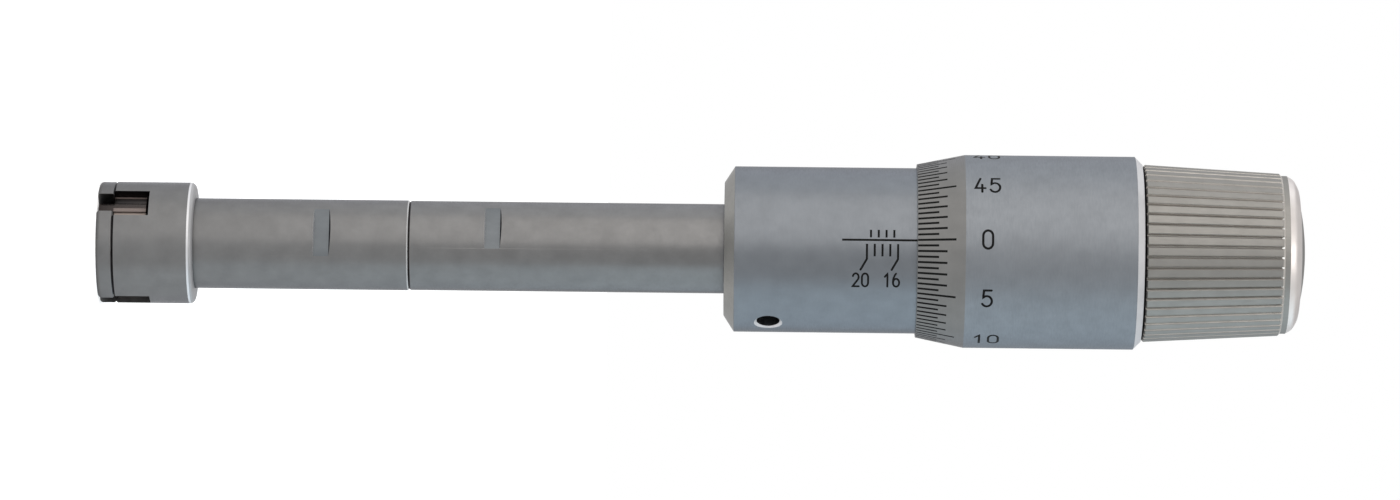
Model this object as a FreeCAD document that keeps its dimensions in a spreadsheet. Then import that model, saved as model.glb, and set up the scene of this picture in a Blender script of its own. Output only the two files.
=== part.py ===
import FreeCAD, Part
import math
import os
import Sketcher
from FreeCAD import Vector

os.makedirs("parts", exist_ok=True)

# Three-point internal micrometer.
# Millimetres, +Z from the measuring head (cap face at height 0) to the ratchet end.
# The index line of the scale faces -Y. The spindle is shown fully retracted.

doc = FreeCAD.newDocument("three_point_micrometer")
sheet = doc.addObject("Spreadsheet::Sheet", "Sizes")
next_row = [1]


def put(name, content):
    """Write one cell of the sheet and give it its name."""
    row = next_row[0]
    sheet.set("A%d" % row, name)
    sheet.set("B%d" % row, content)
    sheet.setAlias("B%d" % row, name)
    next_row[0] = row + 1


def derive(name, formula):
    """A size or a place that follows from the others."""
    put(name, "=" + formula)


def val(name):
    """The number in a named cell."""
    return float(sheet.get(name))


def ref(name):
    """The expression that binds a property to a named cell."""
    return "Sizes." + name


# Driving dimensions, by the names of their cells
driving = {
    # Measuring range and scale
    "smallest_bore": 13.5,
    "largest_bore": 20.0,
    "cone_slope": 0.5,
    "hundredth_line_count": 100,
    "tick_pitch": 1.0,

    # Fits
    "running_clearance": 0.05,
    "seat_clearance": 0.03,
    "face_clearance": 0.05,
    "seam_chamfer": 0.18,
    "edge_chamfer": 0.3,
    "cut_margin": 1.0,

    # Front cap and head housing
    "cap_radius": 7.83,
    "cap_thickness": 2.1,
    "cap_round": 0.45,
    "cap_floor": 0.45,
    "cap_slot_width": 3.0,
    "cap_slot_inset": 0.25,
    "cap_recess_margin": 0.15,
    "head_radius": 7.87,
    "head_length": 10.3,
    "head_back_round": 0.7,
    "slot_width": 4.2,
    "slot_length": 4.6,
    "slot_direction": -5.0,
    "head_bore_radius": 4.7,
    "head_socket_depth": 3.2,
    "head_spigot_shoulder": 0.55,

    # Anvils, carbide strips and hairpin springs
    "anvil_count": 3,
    "anvil_heel_radius": 1.25,
    "anvil_heel_length": 1.5,
    "anvil_end_gap": 0.4,
    "anvil_foot_length": 1.2,
    "anvil_foot_radius": 3.6,
    "strip_width": 1.4,
    "strip_height": 0.3,
    "strip_seat_depth": 1.55,
    "strip_setback": 0.15,
    "strip_crown_radius": 4.0,
    "spring_leaf": 0.1,
    "spring_leaf_width": 0.6,
    "spring_bend_radius": 0.5,
    "spring_bend_offset": 2.2,
    "spring_leg_angle": 30.0,
    "spring_pocket_width": 5.5,
    "foot_play": 0.2,
    "leaf_start_inset": 0.3,

    # Cone
    "cone_nose_gap": 0.1,
    "cone_contact_gap": 0.02,
    "cone_land_length": 4.0,
    "cone_stem_radius": 2.0,
    "cone_stem_length": 9.5,
    "cone_spigot_radius": 1.3,
    "cone_spigot_length": 4.0,

    # Tubes
    "front_tube_radius": 5.85,
    "front_tube_length": 27.8,
    "rear_tube_radius": 5.8,
    "rear_tube_length": 40.9,
    "tube_bore_radius": 3.6,
    "tube_joint_shoulder": 1.4,
    "tube_joint_length": 6.0,
    "cone_rest_gap": 1.36,
    "flat_width": 1.95,
    "front_flat_setback": 15.6,
    "front_flat_depth": 0.96,
    "front_flat_direction": 259.0,
    "rear_flat_setback": 9.95,
    "rear_flat_depth": 0.81,
    "rear_flat_direction": 249.6,

    # Guide bushes, cone spring and push rod
    "bush_length": 3.0,
    "bush_flange": 1.2,
    "spring_wire_radius": 0.25,
    "cone_spring_play": 0.5,
    "spring_turns": 8,
    "cone_spring_room": 12.0,
    "rod_collar_length": 1.5,
    "rod_collar_play": 0.2,
    "rod_play": 0.1,
    "rod_tail": 1.0,
    "ball_radius": 1.6,
    "ball_lift": 0.4,
    "rear_bush_inset": 1.0,

    # Sleeve, inner barrel, set screw and adjusting nut
    "sleeve_radius": 10.75,
    "sleeve_length": 40.4,
    "sleeve_face_radius": 8.65,
    "sleeve_chamfer_length": 1.35,
    "sleeve_front_wall": 2.4,
    "sleeve_wall": 1.5,
    "barrel_spigot_shoulder": 0.6,
    "barrel_spigot_length": 8.9,
    "barrel_tail": 1.5,
    "nut_length": 13.0,
    "nut_neck_relief": 3.5,
    "nut_radius": 5.5,
    "nut_slit_width": 0.6,
    "nut_slit_count": 3,
    "nut_slit_setback": 1.5,
    "adjuster_clearance": 1.25,
    "adjuster_length": 5.0,
    "adjuster_setback": 2.5,
    "screw_hole_setback": 5.8,
    "screw_hole_direction": 339.3,
    "screw_hole_radius": 1.5,
    "screw_hole_chamfer": 0.33,
    "screw_thread_radius": 1.45,
    "screw_sink": 0.5,
    "screw_hex": 1.5,
    "screw_hex_depth": 1.3,

    # Scale on the sleeve
    "scale_offset": 18.4,
    "index_line_width": 0.18,
    "line_depth": 0.08,
    "index_lead": 3.2,
    "index_tail": 4.0,
    "lower_tick_gap": 0.5,
    "lower_tick_length": 1.6,
    "upper_tick_gap": 0.33,
    "upper_tick_length": 1.01,
    "lower_tick_count": 5,
    "upper_tick_count": 4,

    # Spindle
    "spindle_radius": 3.0,
    "thread_radius": 3.45,
    "spindle_seat_radius": 3.0,
    "spindle_tail_inset": 1.0,
    "stem_thread_radius": 1.5,
    "stem_thread_length": 6.0,

    # Thimble
    "thimble_edge_land": 0.3,
    "thimble_bevel_rise": 1.28,
    "thimble_bevel_length": 5.8,
    "thimble_rear_gap": 1.0,
    "thimble_rear_wall": 4.7,
    "thimble_clearance": 0.2,
    "thimble_back_chamfer": 0.95,
    "bevel_line_width": 0.18,
    "short_line_length": 2.8,
    "middle_line_length": 3.9,
    "long_line_length": 5.05,
    "middle_line_count": 50,
    "long_line_count": 10,

    # Ratchet
    "knob_gap": 0.25,
    "knob_front_radius": 11.5,
    "knob_back_radius": 10.53,
    "knob_grip_length": 17.55,
    "knob_band_radius": 10.25,
    "knob_band_length": 0.7,
    "knob_shoulder_length": 1.7,
    "knob_shoulder_radius": 2.9,
    "knob_chamber_radius": 7.4,
    "end_cap_gap": 1.01,
    "knob_web": 3.3,
    "flute_count": 50,
    "flute_width": 0.45,
    "flute_turn": 2.3,
    "flute_depth": 0.42,
    "flute_runout": 0.55,
    "stem_flange_radius": 5.0,
    "stem_flange_length": 1.2,
    "stem_radius": 2.5,
    "wheel_radius": 6.5,
    "wheel_length": 2.2,
    "wheel_offset": 0.6,
    "tooth_count": 24,
    "tooth_depth": 0.4,
    "tooth_clearance": 0.1,
    "pawl_length": 2.2,
    "pawl_margin": 0.1,
    "ratchet_wire_radius": 0.3,
    "ratchet_coil_radius": 4.5,
    "ratchet_turns": 4,
    "washer_radius": 4.2,
    "washer_thickness": 0.6,
    "end_screw_radius": 1.2,
    "end_screw_head_radius": 2.3,
    "end_screw_head_length": 1.2,
    "end_screw_length": 4.5,
    "end_screw_slot_width": 0.6,
    "end_screw_slot_depth": 0.5,
    "end_cap_radius": 6.95,
    "end_cap_rise": 0.8,
    "end_cap_rim": 1.2,
    "end_cap_plug_radius": 5.9,
    "end_cap_plug_length": 1.4,
    "cap_screw_inset": 1.93,
    "cap_screw_head_radius": 1.05,
    "cap_screw_head_length": 0.7,
    "cap_screw_radius": 0.6,
    "cap_screw_length": 3.6,
    "cap_screw_slot_width": 0.35,
    "cap_screw_slot_depth": 0.3,
    "cap_screw_sink": 0.05,
    "hole_margin": 0.3,
}

for size_name, size_value in driving.items():
    put(size_name, repr(size_value))

# Travel
derive("anvil_lift", "(largest_bore - smallest_bore) / 2")
derive("cone_travel", "anvil_lift / cone_slope")

# Stations along the axis and radii that follow from them
derive("cone_nose_height", "cap_floor + cone_travel + cone_nose_gap")
derive("cap_screw_circle", "cap_radius - cap_screw_inset")
derive("head_spigot_radius", "front_tube_radius - head_spigot_shoulder")
derive("front_flat_half_width", "front_tube_radius - front_flat_depth")
derive("rear_flat_half_width", "rear_tube_radius - rear_flat_depth")
derive("barrel_spigot_radius", "rear_tube_radius - barrel_spigot_shoulder")
derive("tube_joint_radius", "rear_tube_radius - tube_joint_shoulder")
derive("rod_collar_radius", "tube_bore_radius - rod_collar_play")
derive("spring_coil_radius", "tube_bore_radius - cone_spring_play - spring_wire_radius")
derive("rod_radius", "spring_coil_radius - spring_wire_radius - rod_play")

derive("cap_face_radius", "cap_radius - cap_round")
derive("cap_seam_radius", "cap_radius - seam_chamfer")
derive("cap_seam_height", "cap_thickness - seam_chamfer")
derive("head_face_radius", "head_radius - seam_chamfer")
derive("head_face_edge", "cap_thickness + seam_chamfer")
derive("head_end", "cap_thickness + head_length")
derive("head_round_height", "head_end - head_back_round")
derive("head_round_radius", "head_radius - head_back_round")
derive("head_socket_height", "head_end - head_socket_depth")
derive("head_socket_radius", "head_spigot_radius + running_clearance")
derive("slot_end", "cap_thickness + slot_length")

derive("anvil_front", "cap_thickness + face_clearance")
derive("anvil_width", "slot_width - 2 * running_clearance")
derive("anvil_heel_end", "cap_thickness + anvil_heel_length")
derive("anvil_rear", "slot_end - anvil_end_gap")
derive("anvil_foot_end", "anvil_rear + anvil_foot_length")
derive("anvil_foot_inner", "anvil_heel_radius + cone_slope * (anvil_foot_end - anvil_heel_end)")
derive("tip_radius", "smallest_bore / 2")
derive("shoulder_radius", "tip_radius - strip_height")
derive("strip_base_radius", "shoulder_radius - strip_seat_depth")
derive("strip_width_cut", "strip_width + 2 * seat_clearance")
derive("strip_seat_radius", "strip_base_radius - seat_clearance")
derive("pocket_end", "anvil_foot_end + foot_play")
derive("pocket_roof_radius", "anvil_foot_radius + anvil_lift + 2 * spring_leaf")
derive("bend_pocket_radius", "pocket_roof_radius - 3 * spring_bend_radius")
derive("cap_slot_radius", "strip_base_radius - cap_slot_inset")
derive("beyond_head", "head_radius + 2 * cut_margin")
derive("below_cap", "-cut_margin")

derive("cone_nose_radius",
       "anvil_heel_radius + cone_slope * (cone_nose_height - anvil_heel_end) - cone_contact_gap")
derive("cone_land_radius", "head_bore_radius - running_clearance")
derive("cone_base_height", "cone_nose_height + (cone_land_radius - cone_nose_radius) / cone_slope")
derive("cone_land_end", "cone_base_height + cone_land_length")
derive("cone_stem_end", "cone_land_end + cone_stem_length")
derive("cone_spigot_end", "cone_stem_end + cone_spigot_length")
derive("cone_seam_radius", "cone_land_radius - edge_chamfer")
derive("cone_seam_height", "cone_land_end - edge_chamfer")
derive("recess_radius",
       "cone_nose_radius + cone_slope * (cap_thickness - cone_nose_height + cone_travel)"
       " + cap_recess_margin")

derive("front_tube_end", "head_end + front_tube_length")
derive("front_spigot_front", "head_socket_height + face_clearance")
derive("front_tube_seam_radius", "front_tube_radius - seam_chamfer")
derive("front_tube_seam_height", "front_tube_end - seam_chamfer")
derive("joint_socket_radius", "tube_joint_radius + running_clearance")
derive("joint_spigot_front", "front_tube_end - tube_joint_length")
derive("joint_socket_height", "joint_spigot_front - face_clearance")
derive("rear_tube_end", "front_tube_end + rear_tube_length")
derive("rear_tube_seam_radius", "rear_tube_radius - seam_chamfer")
derive("rear_tube_seam_height", "front_tube_end + seam_chamfer")
derive("barrel_spigot_end", "rear_tube_end + barrel_spigot_length")
derive("front_flat_height", "head_end + front_flat_setback")
derive("rear_flat_height", "front_tube_end + rear_flat_setback")
derive("front_flat_end", "front_flat_height + flat_width")
derive("rear_flat_end", "rear_flat_height + flat_width")
derive("beyond_tube", "front_tube_radius + 2 * cut_margin")
derive("flat_cut_width", "2 * (front_tube_radius + cut_margin)")

derive("tube_step_height", "cone_land_end + cone_rest_gap + bush_flange")
derive("bush_flange_radius", "head_bore_radius - running_clearance")
derive("bush_front", "tube_step_height - bush_flange")
derive("bush_end", "tube_step_height + bush_length")
derive("bush_radius", "tube_bore_radius - seat_clearance")
derive("front_bush_bore", "cone_stem_radius + running_clearance")
derive("rear_bush_end", "rear_tube_end - rear_bush_inset")
derive("rear_bush_front", "rear_bush_end - bush_length")
derive("rear_bush_bore", "rod_radius + running_clearance")
derive("rod_collar_height", "bush_end + cone_spring_room")
derive("rod_collar_end", "rod_collar_height + rod_collar_length")
derive("rod_socket_radius", "cone_spigot_radius + seat_clearance")
derive("rod_socket_end", "cone_spigot_end + face_clearance")
derive("rod_end_height", "barrel_spigot_end + rod_tail")
derive("ball_height", "rod_end_height + ball_lift")
derive("ball_high", "ball_height + ball_radius")
derive("cup_apex_height", "ball_height - sqrt(2) * ball_radius - cone_contact_gap")
derive("cup_mouth_radius", "rod_end_height - cup_apex_height")
derive("coil_start", "bush_end + spring_wire_radius + cone_contact_gap")
derive("coil_height", "rod_collar_height - bush_end - 2 * spring_wire_radius - 2 * cone_contact_gap")
derive("coil_pitch", "coil_height / spring_turns")

derive("sleeve_chamfer_end", "rear_tube_end + sleeve_chamfer_length")
derive("sleeve_wall_end", "rear_tube_end + sleeve_front_wall")
derive("sleeve_end", "rear_tube_end + sleeve_length")
derive("sleeve_bore_radius", "sleeve_radius - sleeve_wall")
derive("barrel_radius", "sleeve_bore_radius - running_clearance")
derive("barrel_front", "sleeve_wall_end + face_clearance")
derive("barrel_socket_radius", "barrel_spigot_radius + running_clearance")
derive("barrel_socket_end", "barrel_spigot_end + face_clearance")
derive("barrel_seam_radius", "barrel_radius - edge_chamfer")
derive("barrel_end_height", "sleeve_end + barrel_tail")
derive("nut_start", "barrel_end_height - nut_length")
derive("nut_bore_radius", "thread_radius + running_clearance")
derive("spindle_bore_radius", "spindle_radius + running_clearance")
derive("adjuster_end", "barrel_end_height - adjuster_setback")
derive("adjuster_front", "adjuster_end - adjuster_length")
derive("nut_neck_height", "adjuster_front - nut_neck_relief")
derive("barrel_seam_height", "nut_neck_height - edge_chamfer")
derive("nut_slit_start", "nut_neck_height + nut_slit_setback")
derive("nut_slit_end", "barrel_end_height + cut_margin")
derive("nut_slit_reach", "nut_radius + cut_margin")
derive("adjuster_bore_radius", "nut_radius + running_clearance")
derive("adjuster_radius", "sleeve_bore_radius - adjuster_clearance")
derive("adjuster_seam_radius", "adjuster_radius - edge_chamfer")
derive("adjuster_seam_height", "adjuster_end - edge_chamfer")
derive("screw_hole_height", "rear_tube_end + screw_hole_setback")
derive("screw_inner_radius", "barrel_spigot_radius + seat_clearance")
derive("screw_outer_radius", "barrel_radius - screw_sink")
derive("screw_length", "screw_outer_radius - screw_inner_radius")
derive("screw_hole_mouth", "screw_hole_radius + screw_hole_chamfer")
derive("scale_top", "rear_tube_end + scale_offset")
derive("index_front", "scale_top - index_lead")

derive("spindle_front", "ball_high + cone_contact_gap")
derive("thread_front", "nut_start + cone_travel")
derive("thimble_front", "scale_top + (largest_bore - smallest_bore)")
derive("thimble_wall_front", "barrel_end_height + cone_travel + thimble_rear_gap")
derive("thimble_end", "thimble_wall_front + thimble_rear_wall")
derive("thimble_bevel_end", "thimble_front + thimble_bevel_length")
derive("thimble_bore_radius", "sleeve_radius + thimble_clearance")
derive("thimble_edge_radius", "thimble_bore_radius + thimble_edge_land")
derive("thimble_radius", "thimble_edge_radius + thimble_bevel_rise")
derive("thimble_hole_radius", "spindle_seat_radius + seat_clearance")
derive("thimble_back_height", "thimble_end - thimble_back_chamfer")
derive("thimble_back_radius", "thimble_radius - thimble_back_chamfer")
derive("spindle_end", "thimble_end - spindle_tail_inset")
derive("stem_front", "spindle_end - stem_thread_length")
derive("stem_hole_radius", "stem_thread_radius + seat_clearance")
derive("stem_hole_front", "stem_front - face_clearance")

derive("flange_front", "thimble_end + cone_contact_gap")
derive("flange_end", "flange_front + stem_flange_length")
derive("knob_front", "thimble_end + knob_gap")
derive("knob_grip_end", "knob_front + knob_grip_length")
derive("knob_step_end", "knob_grip_end + (knob_back_radius - knob_band_radius)")
derive("knob_band_end", "knob_step_end + knob_band_length")
derive("knob_end", "knob_band_end + knob_shoulder_length")
derive("knob_bore_radius", "stem_radius + running_clearance")
derive("cap_seat_radius", "end_cap_radius + seat_clearance")
derive("cap_seat_height", "knob_end - end_cap_rim")
derive("end_cap_rim_front", "cap_seat_height + seat_clearance")
derive("end_cap_plug_front", "end_cap_rim_front - end_cap_plug_length")
derive("knob_web_end",
       "end_cap_plug_front - end_cap_gap - end_screw_head_length - washer_thickness"
       " - running_clearance")
derive("knob_chamber_end", "knob_web_end - knob_web")
derive("plug_hole_radius", "end_cap_plug_radius + seat_clearance")
derive("knob_front_edge", "knob_front + seam_chamfer")
derive("knob_face_radius", "knob_front_radius - seam_chamfer")
derive("wheel_front", "flange_end + wheel_offset")
derive("wheel_end", "wheel_front + wheel_length")
derive("wheel_bore_radius", "stem_radius + seat_clearance")
derive("pawl_front", "wheel_end + tooth_clearance")
derive("pawl_end", "pawl_front + pawl_length")
derive("pawl_radius", "knob_chamber_radius - pawl_margin")
derive("ratchet_coil_start", "pawl_end + ratchet_wire_radius + cone_contact_gap")
derive("ratchet_coil_height",
       "knob_chamber_end - pawl_end - 2 * ratchet_wire_radius - 2 * cone_contact_gap")
derive("ratchet_coil_pitch", "ratchet_coil_height / ratchet_turns")
derive("stem_end", "knob_web_end + running_clearance")
derive("washer_front", "stem_end")
derive("washer_end", "washer_front + washer_thickness")
derive("washer_bore_radius", "end_screw_radius + running_clearance")
derive("end_screw_front", "washer_end - end_screw_length")
derive("end_screw_end", "washer_end + end_screw_head_length")
derive("end_screw_hole_radius", "end_screw_radius + seat_clearance")
derive("end_screw_hole_front", "end_screw_front - hole_margin")
derive("end_screw_slot_floor", "end_screw_end - end_screw_slot_depth")
derive("end_cap_edge_height", "knob_end - seat_clearance")
derive("end_cap_apex", "end_cap_edge_height + end_cap_rise")
derive("end_cap_dome_radius",
       "(end_cap_radius ^ 2 + end_cap_rise ^ 2) / (2 * end_cap_rise)")
derive("cap_screw_end", "cap_screw_head_length + cap_screw_length")
derive("cap_screw_hole_end", "cap_screw_end + hole_margin")
derive("cap_screw_hole_radius", "cap_screw_radius + seat_clearance")
derive("cap_screw_seat_radius", "cap_screw_head_radius + seat_clearance")
doc.recompute()


def origin_item(body, role):
    """A body's own origin plane or axis, found by its role."""
    for item in body.Origin.OriginFeatures:
        if item.Role == role:
            return item
    raise RuntimeError("no origin item " + role)


def arc_of(start, end, radius, side):
    """Arc between two sketch points; side is 1 where it bulges to the right of the way."""
    chord = end - start
    half = chord.Length / 2
    across = Vector(-chord.y, chord.x, 0).normalize()
    centre = start + chord * 0.5 + across * (side * math.sqrt(radius ** 2 - half ** 2))
    first = math.atan2(start.y - centre.y, start.x - centre.x)
    last = math.atan2(end.y - centre.y, end.x - centre.x)
    if side < 0:
        first, last = last, first
    if last < first:
        last += 2 * math.pi
    circle = Part.Circle(centre, Vector(0, 0, 1), radius)
    return Part.ArcOfCircle(circle, first, last)


def outline_sketch(body, name, outline, plane="XZ_Plane"):
    """Closed sketch through (across, along) pairs of cell names, each point bound to its cells.

    A point may name a third cell, the radius of the convex round that leads on from it.
    "zero" puts a point on the axis or on the base plane.
    """
    sketch = body.newObject("Sketcher::SketchObject", name)
    sketch.AttachmentSupport = [(origin_item(body, plane), "")]
    sketch.MapMode = "FlatFace"
    spots = []
    for corner in outline:
        across = 0.0 if corner[0] == "zero" else val(corner[0])
        along = 0.0 if corner[1] == "zero" else val(corner[1])
        spots.append(Vector(across, along, 0))
    total = len(outline)
    starts = []
    ends = []
    for k in range(total):
        here = spots[k]
        there = spots[(k + 1) % total]
        if len(outline[k]) > 2:
            sketch.addGeometry(arc_of(here, there, val(outline[k][2]), 1), False)
        else:
            sketch.addGeometry(Part.LineSegment(here, there), False)
        starts.append((k, 1))
        ends.append((k, 2))
    for k in range(total):
        nxt = (k + 1) % total
        sketch.addConstraint(Sketcher.Constraint("Coincident", *ends[k], *starts[nxt]))
    for k, corner in enumerate(outline):
        geo, point = starts[k]
        for kind, cell, axis in (("DistanceX", corner[0], -2), ("DistanceY", corner[1], -1)):
            if cell == "zero":
                sketch.addConstraint(Sketcher.Constraint("PointOnObject", geo, point, axis))
                continue
            index = sketch.addConstraint(
                Sketcher.Constraint(kind, -1, 1, geo, point, val(cell)))
            sketch.setExpression("Constraints[%d]" % index, ref(cell))
        if len(corner) > 2:
            index = sketch.addConstraint(Sketcher.Constraint("Radius", k, val(corner[2])))
            sketch.setExpression("Constraints[%d]" % index, ref(corner[2]))
    return sketch


def turned(label, outline):
    """A body turned about the Z axis from a (radius, height) outline."""
    body = doc.addObject("PartDesign::Body", label)
    body.Label = label
    sketch = outline_sketch(body, label + "_outline", outline)
    lathe = body.newObject("PartDesign::Revolution", label + "_turning")
    lathe.Profile = sketch
    lathe.ReferenceAxis = (origin_item(body, "Z_Axis"), [""])
    lathe.Angle = 360
    body.Tip = lathe
    doc.recompute()
    return body


def plate(label, outline, width):
    """A body of even thickness about the XZ plane, from a (radius, height) outline."""
    body = doc.addObject("PartDesign::Body", label)
    body.Label = label
    sketch = outline_sketch(body, label + "_outline", outline)
    pad = body.newObject("PartDesign::Pad", label + "_pad")
    pad.Profile = sketch
    pad.SideType = "Symmetric"
    pad.setExpression("Length", ref(width))
    body.Tip = pad
    doc.recompute()
    return body


def milled(body, name, outline, width, copies=None):
    """Cut a slot of even width about the XZ plane, repeated round the axis if asked."""
    before = body.Shape.Volume
    sketch = outline_sketch(body, name + "_outline", outline)
    pocket = body.newObject("PartDesign::Pocket", name)
    pocket.Profile = sketch
    pocket.SideType = "Symmetric"
    pocket.setExpression("Length", ref(width))
    body.Tip = pocket
    doc.recompute()
    if not body.Shape.Volume < before - 1e-6:
        raise RuntimeError("no cut in " + name)
    if copies is not None:
        pattern = body.newObject("PartDesign::PolarPattern", name + "_round")
        pattern.Originals = [pocket]
        pattern.Axis = (origin_item(body, "Z_Axis"), [""])
        pattern.Angle = 360
        pattern.Occurrences = copies
        body.Tip = pattern
        doc.recompute()
    return body


def box_outline(low_across, low_along, high_across, high_along):
    """Four corners of a rectangle, counter-clockwise."""
    return [
        (low_across, low_along),
        (high_across, low_along),
        (high_across, high_along),
        (low_across, high_along),
    ]


def turn_to(item, degrees):
    """Turn an object about the Z axis."""
    item.Placement = FreeCAD.Placement(
        item.Placement.Base, FreeCAD.Rotation(Vector(0, 0, 1), degrees))


def cut(label, base, tools):
    """One object less several tools."""
    joined = tools[0]
    if len(tools) > 1:
        joined = doc.addObject("Part::MultiFuse", label + "_tools")
        joined.Shapes = tools
    result = doc.addObject("Part::Cut", label + "_cut")
    result.Base = base
    result.Tool = joined
    base.Label = label + "_blank"
    result.Label = label
    return result


def round_the_axis(name, cutter, count):
    """Copies of a cutter spaced evenly round the Z axis, as one compound."""
    copies = []
    for k in range(count):
        copy = cutter.Shape.copy()
        copy.rotate(Vector(0, 0, 0), Vector(0, 0, 1), 360.0 * k / count)
        copies.append(copy)
    ring = doc.addObject("Part::Feature", name)
    ring.Shape = Part.makeCompound(copies)
    return ring


def radial_cylinder(name, radius, direction, height, inner, length):
    """A cylinder square to the axis, from an inner radius outwards."""
    tool = doc.addObject("Part::Cylinder", name)
    tool.setExpression("Radius", ref(radius))
    tool.setExpression("Height", ref(length))
    way = Vector(math.cos(math.radians(direction)), math.sin(math.radians(direction)), 0)
    tool.Placement = FreeCAD.Placement(
        way * val(inner) + Vector(0, 0, val(height)),
        FreeCAD.Rotation(Vector(0, 0, 1), way))
    return tool


def coil_spring(label, coil_radius, wire_radius, start, pitch, height):
    """A round-wire compression spring about the Z axis."""
    helix = doc.addObject("Part::Helix", label + "_helix")
    helix.setExpression("Radius", ref(coil_radius))
    helix.setExpression("Pitch", ref(pitch))
    helix.setExpression("Height", ref(height))
    helix.setExpression("Placement.Base.z", ref(start))
    # One edge for each turn of the coil
    helix.SegmentLength = 1
    section = doc.addObject("Part::Circle", label + "_wire")
    section.setExpression("Radius", ref(wire_radius))
    rise = Vector(0, 2 * math.pi * val(coil_radius), val(pitch))
    section.Placement = FreeCAD.Placement(
        Vector(0, 0, 0), FreeCAD.Rotation(Vector(0, 0, 1), rise))
    section.setExpression("Placement.Base.x", ref(coil_radius))
    section.setExpression("Placement.Base.z", ref(start))
    doc.recompute()
    sweep = doc.addObject("Part::Sweep", label + "_sweep")
    sweep.Sections = [section]
    sweep.Spine = (helix, ["Edge%d" % (k + 1) for k in range(len(helix.Shape.Edges))])
    sweep.Solid = True
    sweep.Frenet = True
    sweep.Label = label
    return sweep


kept = []
anvil_total = int(val("anvil_count"))
sector = 360.0 / anvil_total
first_slot = val("slot_direction")

# Front cap: a turned steel disc with three slots for the carbide strips,
# hollowed behind for the nose of the cone.
cap = turned("front_cap", [
    ("zero", "zero"),
    ("cap_face_radius", "zero", "cap_round"),
    ("cap_radius", "cap_round"),
    ("cap_radius", "cap_seam_height"),
    ("cap_seam_radius", "cap_thickness"),
    ("recess_radius", "cap_thickness"),
    ("recess_radius", "cap_floor"),
    ("zero", "cap_floor"),
])
milled(cap, "cap_slot", box_outline(
    "cap_slot_radius", "below_cap", "beyond_head", "head_end"), "cap_slot_width", anvil_total)
turn_to(cap, first_slot)

# Head housing: carries the anvils in three slots open to the front. Behind each slot
# a pocket under the skin takes the anvil's foot and its hairpin spring.
housing = turned("head_housing", [
    ("head_bore_radius", "cap_thickness"),
    ("head_face_radius", "cap_thickness"),
    ("head_radius", "head_face_edge"),
    ("head_radius", "head_round_height", "head_back_round"),
    ("head_round_radius", "head_end"),
    ("head_socket_radius", "head_end"),
    ("head_socket_radius", "head_socket_height"),
    ("head_bore_radius", "head_socket_height"),
])
milled(housing, "anvil_slot", box_outline(
    "cone_stem_radius", "below_cap", "beyond_head", "slot_end"), "slot_width", anvil_total)
milled(housing, "foot_pocket", box_outline(
    "cone_stem_radius", "anvil_rear", "pocket_roof_radius", "pocket_end"),
    "slot_width", anvil_total)
milled(housing, "bend_pocket", box_outline(
    "bend_pocket_radius", "slot_end", "pocket_roof_radius", "pocket_end"),
    "spring_pocket_width", anvil_total)
turn_to(housing, first_slot)

# Cap screws: three slotted countersunk screws between the slots, one group of solids.
screw = turned("cap_screw", [
    ("zero", "cap_screw_sink"),
    ("cap_screw_head_radius", "cap_screw_sink"),
    ("cap_screw_radius", "cap_screw_head_length"),
    ("cap_screw_radius", "cap_screw_end"),
    ("zero", "cap_screw_end"),
])
screw_hole = turned("cap_screw_hole", [
    ("zero", "below_cap"),
    ("cap_screw_seat_radius", "below_cap"),
    ("cap_screw_seat_radius", "cap_screw_sink"),
    ("cap_screw_hole_radius", "cap_screw_head_length"),
    ("cap_screw_hole_radius", "cap_screw_hole_end"),
    ("zero", "cap_screw_hole_end"),
])
screw_slot = doc.addObject("Part::Box", "cap_screw_driver_slot")
screw_slot.setExpression("Length", "4 * " + ref("cap_screw_head_radius"))
screw_slot.setExpression("Width", ref("cap_screw_slot_width"))
screw_slot.setExpression("Height", ref("cap_screw_slot_depth") + " + " + ref("cap_screw_sink"))
screw_slot.setExpression("Placement.Base.x", "-2 * " + ref("cap_screw_head_radius"))
screw_slot.setExpression("Placement.Base.y", "-" + ref("cap_screw_slot_width") + " / 2")
slotted_screw = cut("slotted_cap_screw", screw, [screw_slot])
doc.recompute()


def spread_screws(name, item):
    """Copies of an item on the cap screw circle, half-way between the slots."""
    copies = []
    for k in range(anvil_total):
        turn = first_slot + sector * (k + 0.5)
        copy = item.Shape.copy()
        copy.translate(Vector(val("cap_screw_circle"), 0, 0))
        copy.rotate(Vector(0, 0, 0), Vector(0, 0, 1), turn)
        copies.append(copy)
    group = doc.addObject("Part::Feature", name)
    group.Shape = Part.makeCompound(copies)
    return group


cap_screws = spread_screws("cap_screws", slotted_screw)
screw_holes = spread_screws("cap_screw_holes", screw_hole)
kept.append(cut("front_cap", cap, [screw_holes]))
kept.append(cut("head_housing", housing, [screw_holes]))
kept.append(cap_screws)

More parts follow.
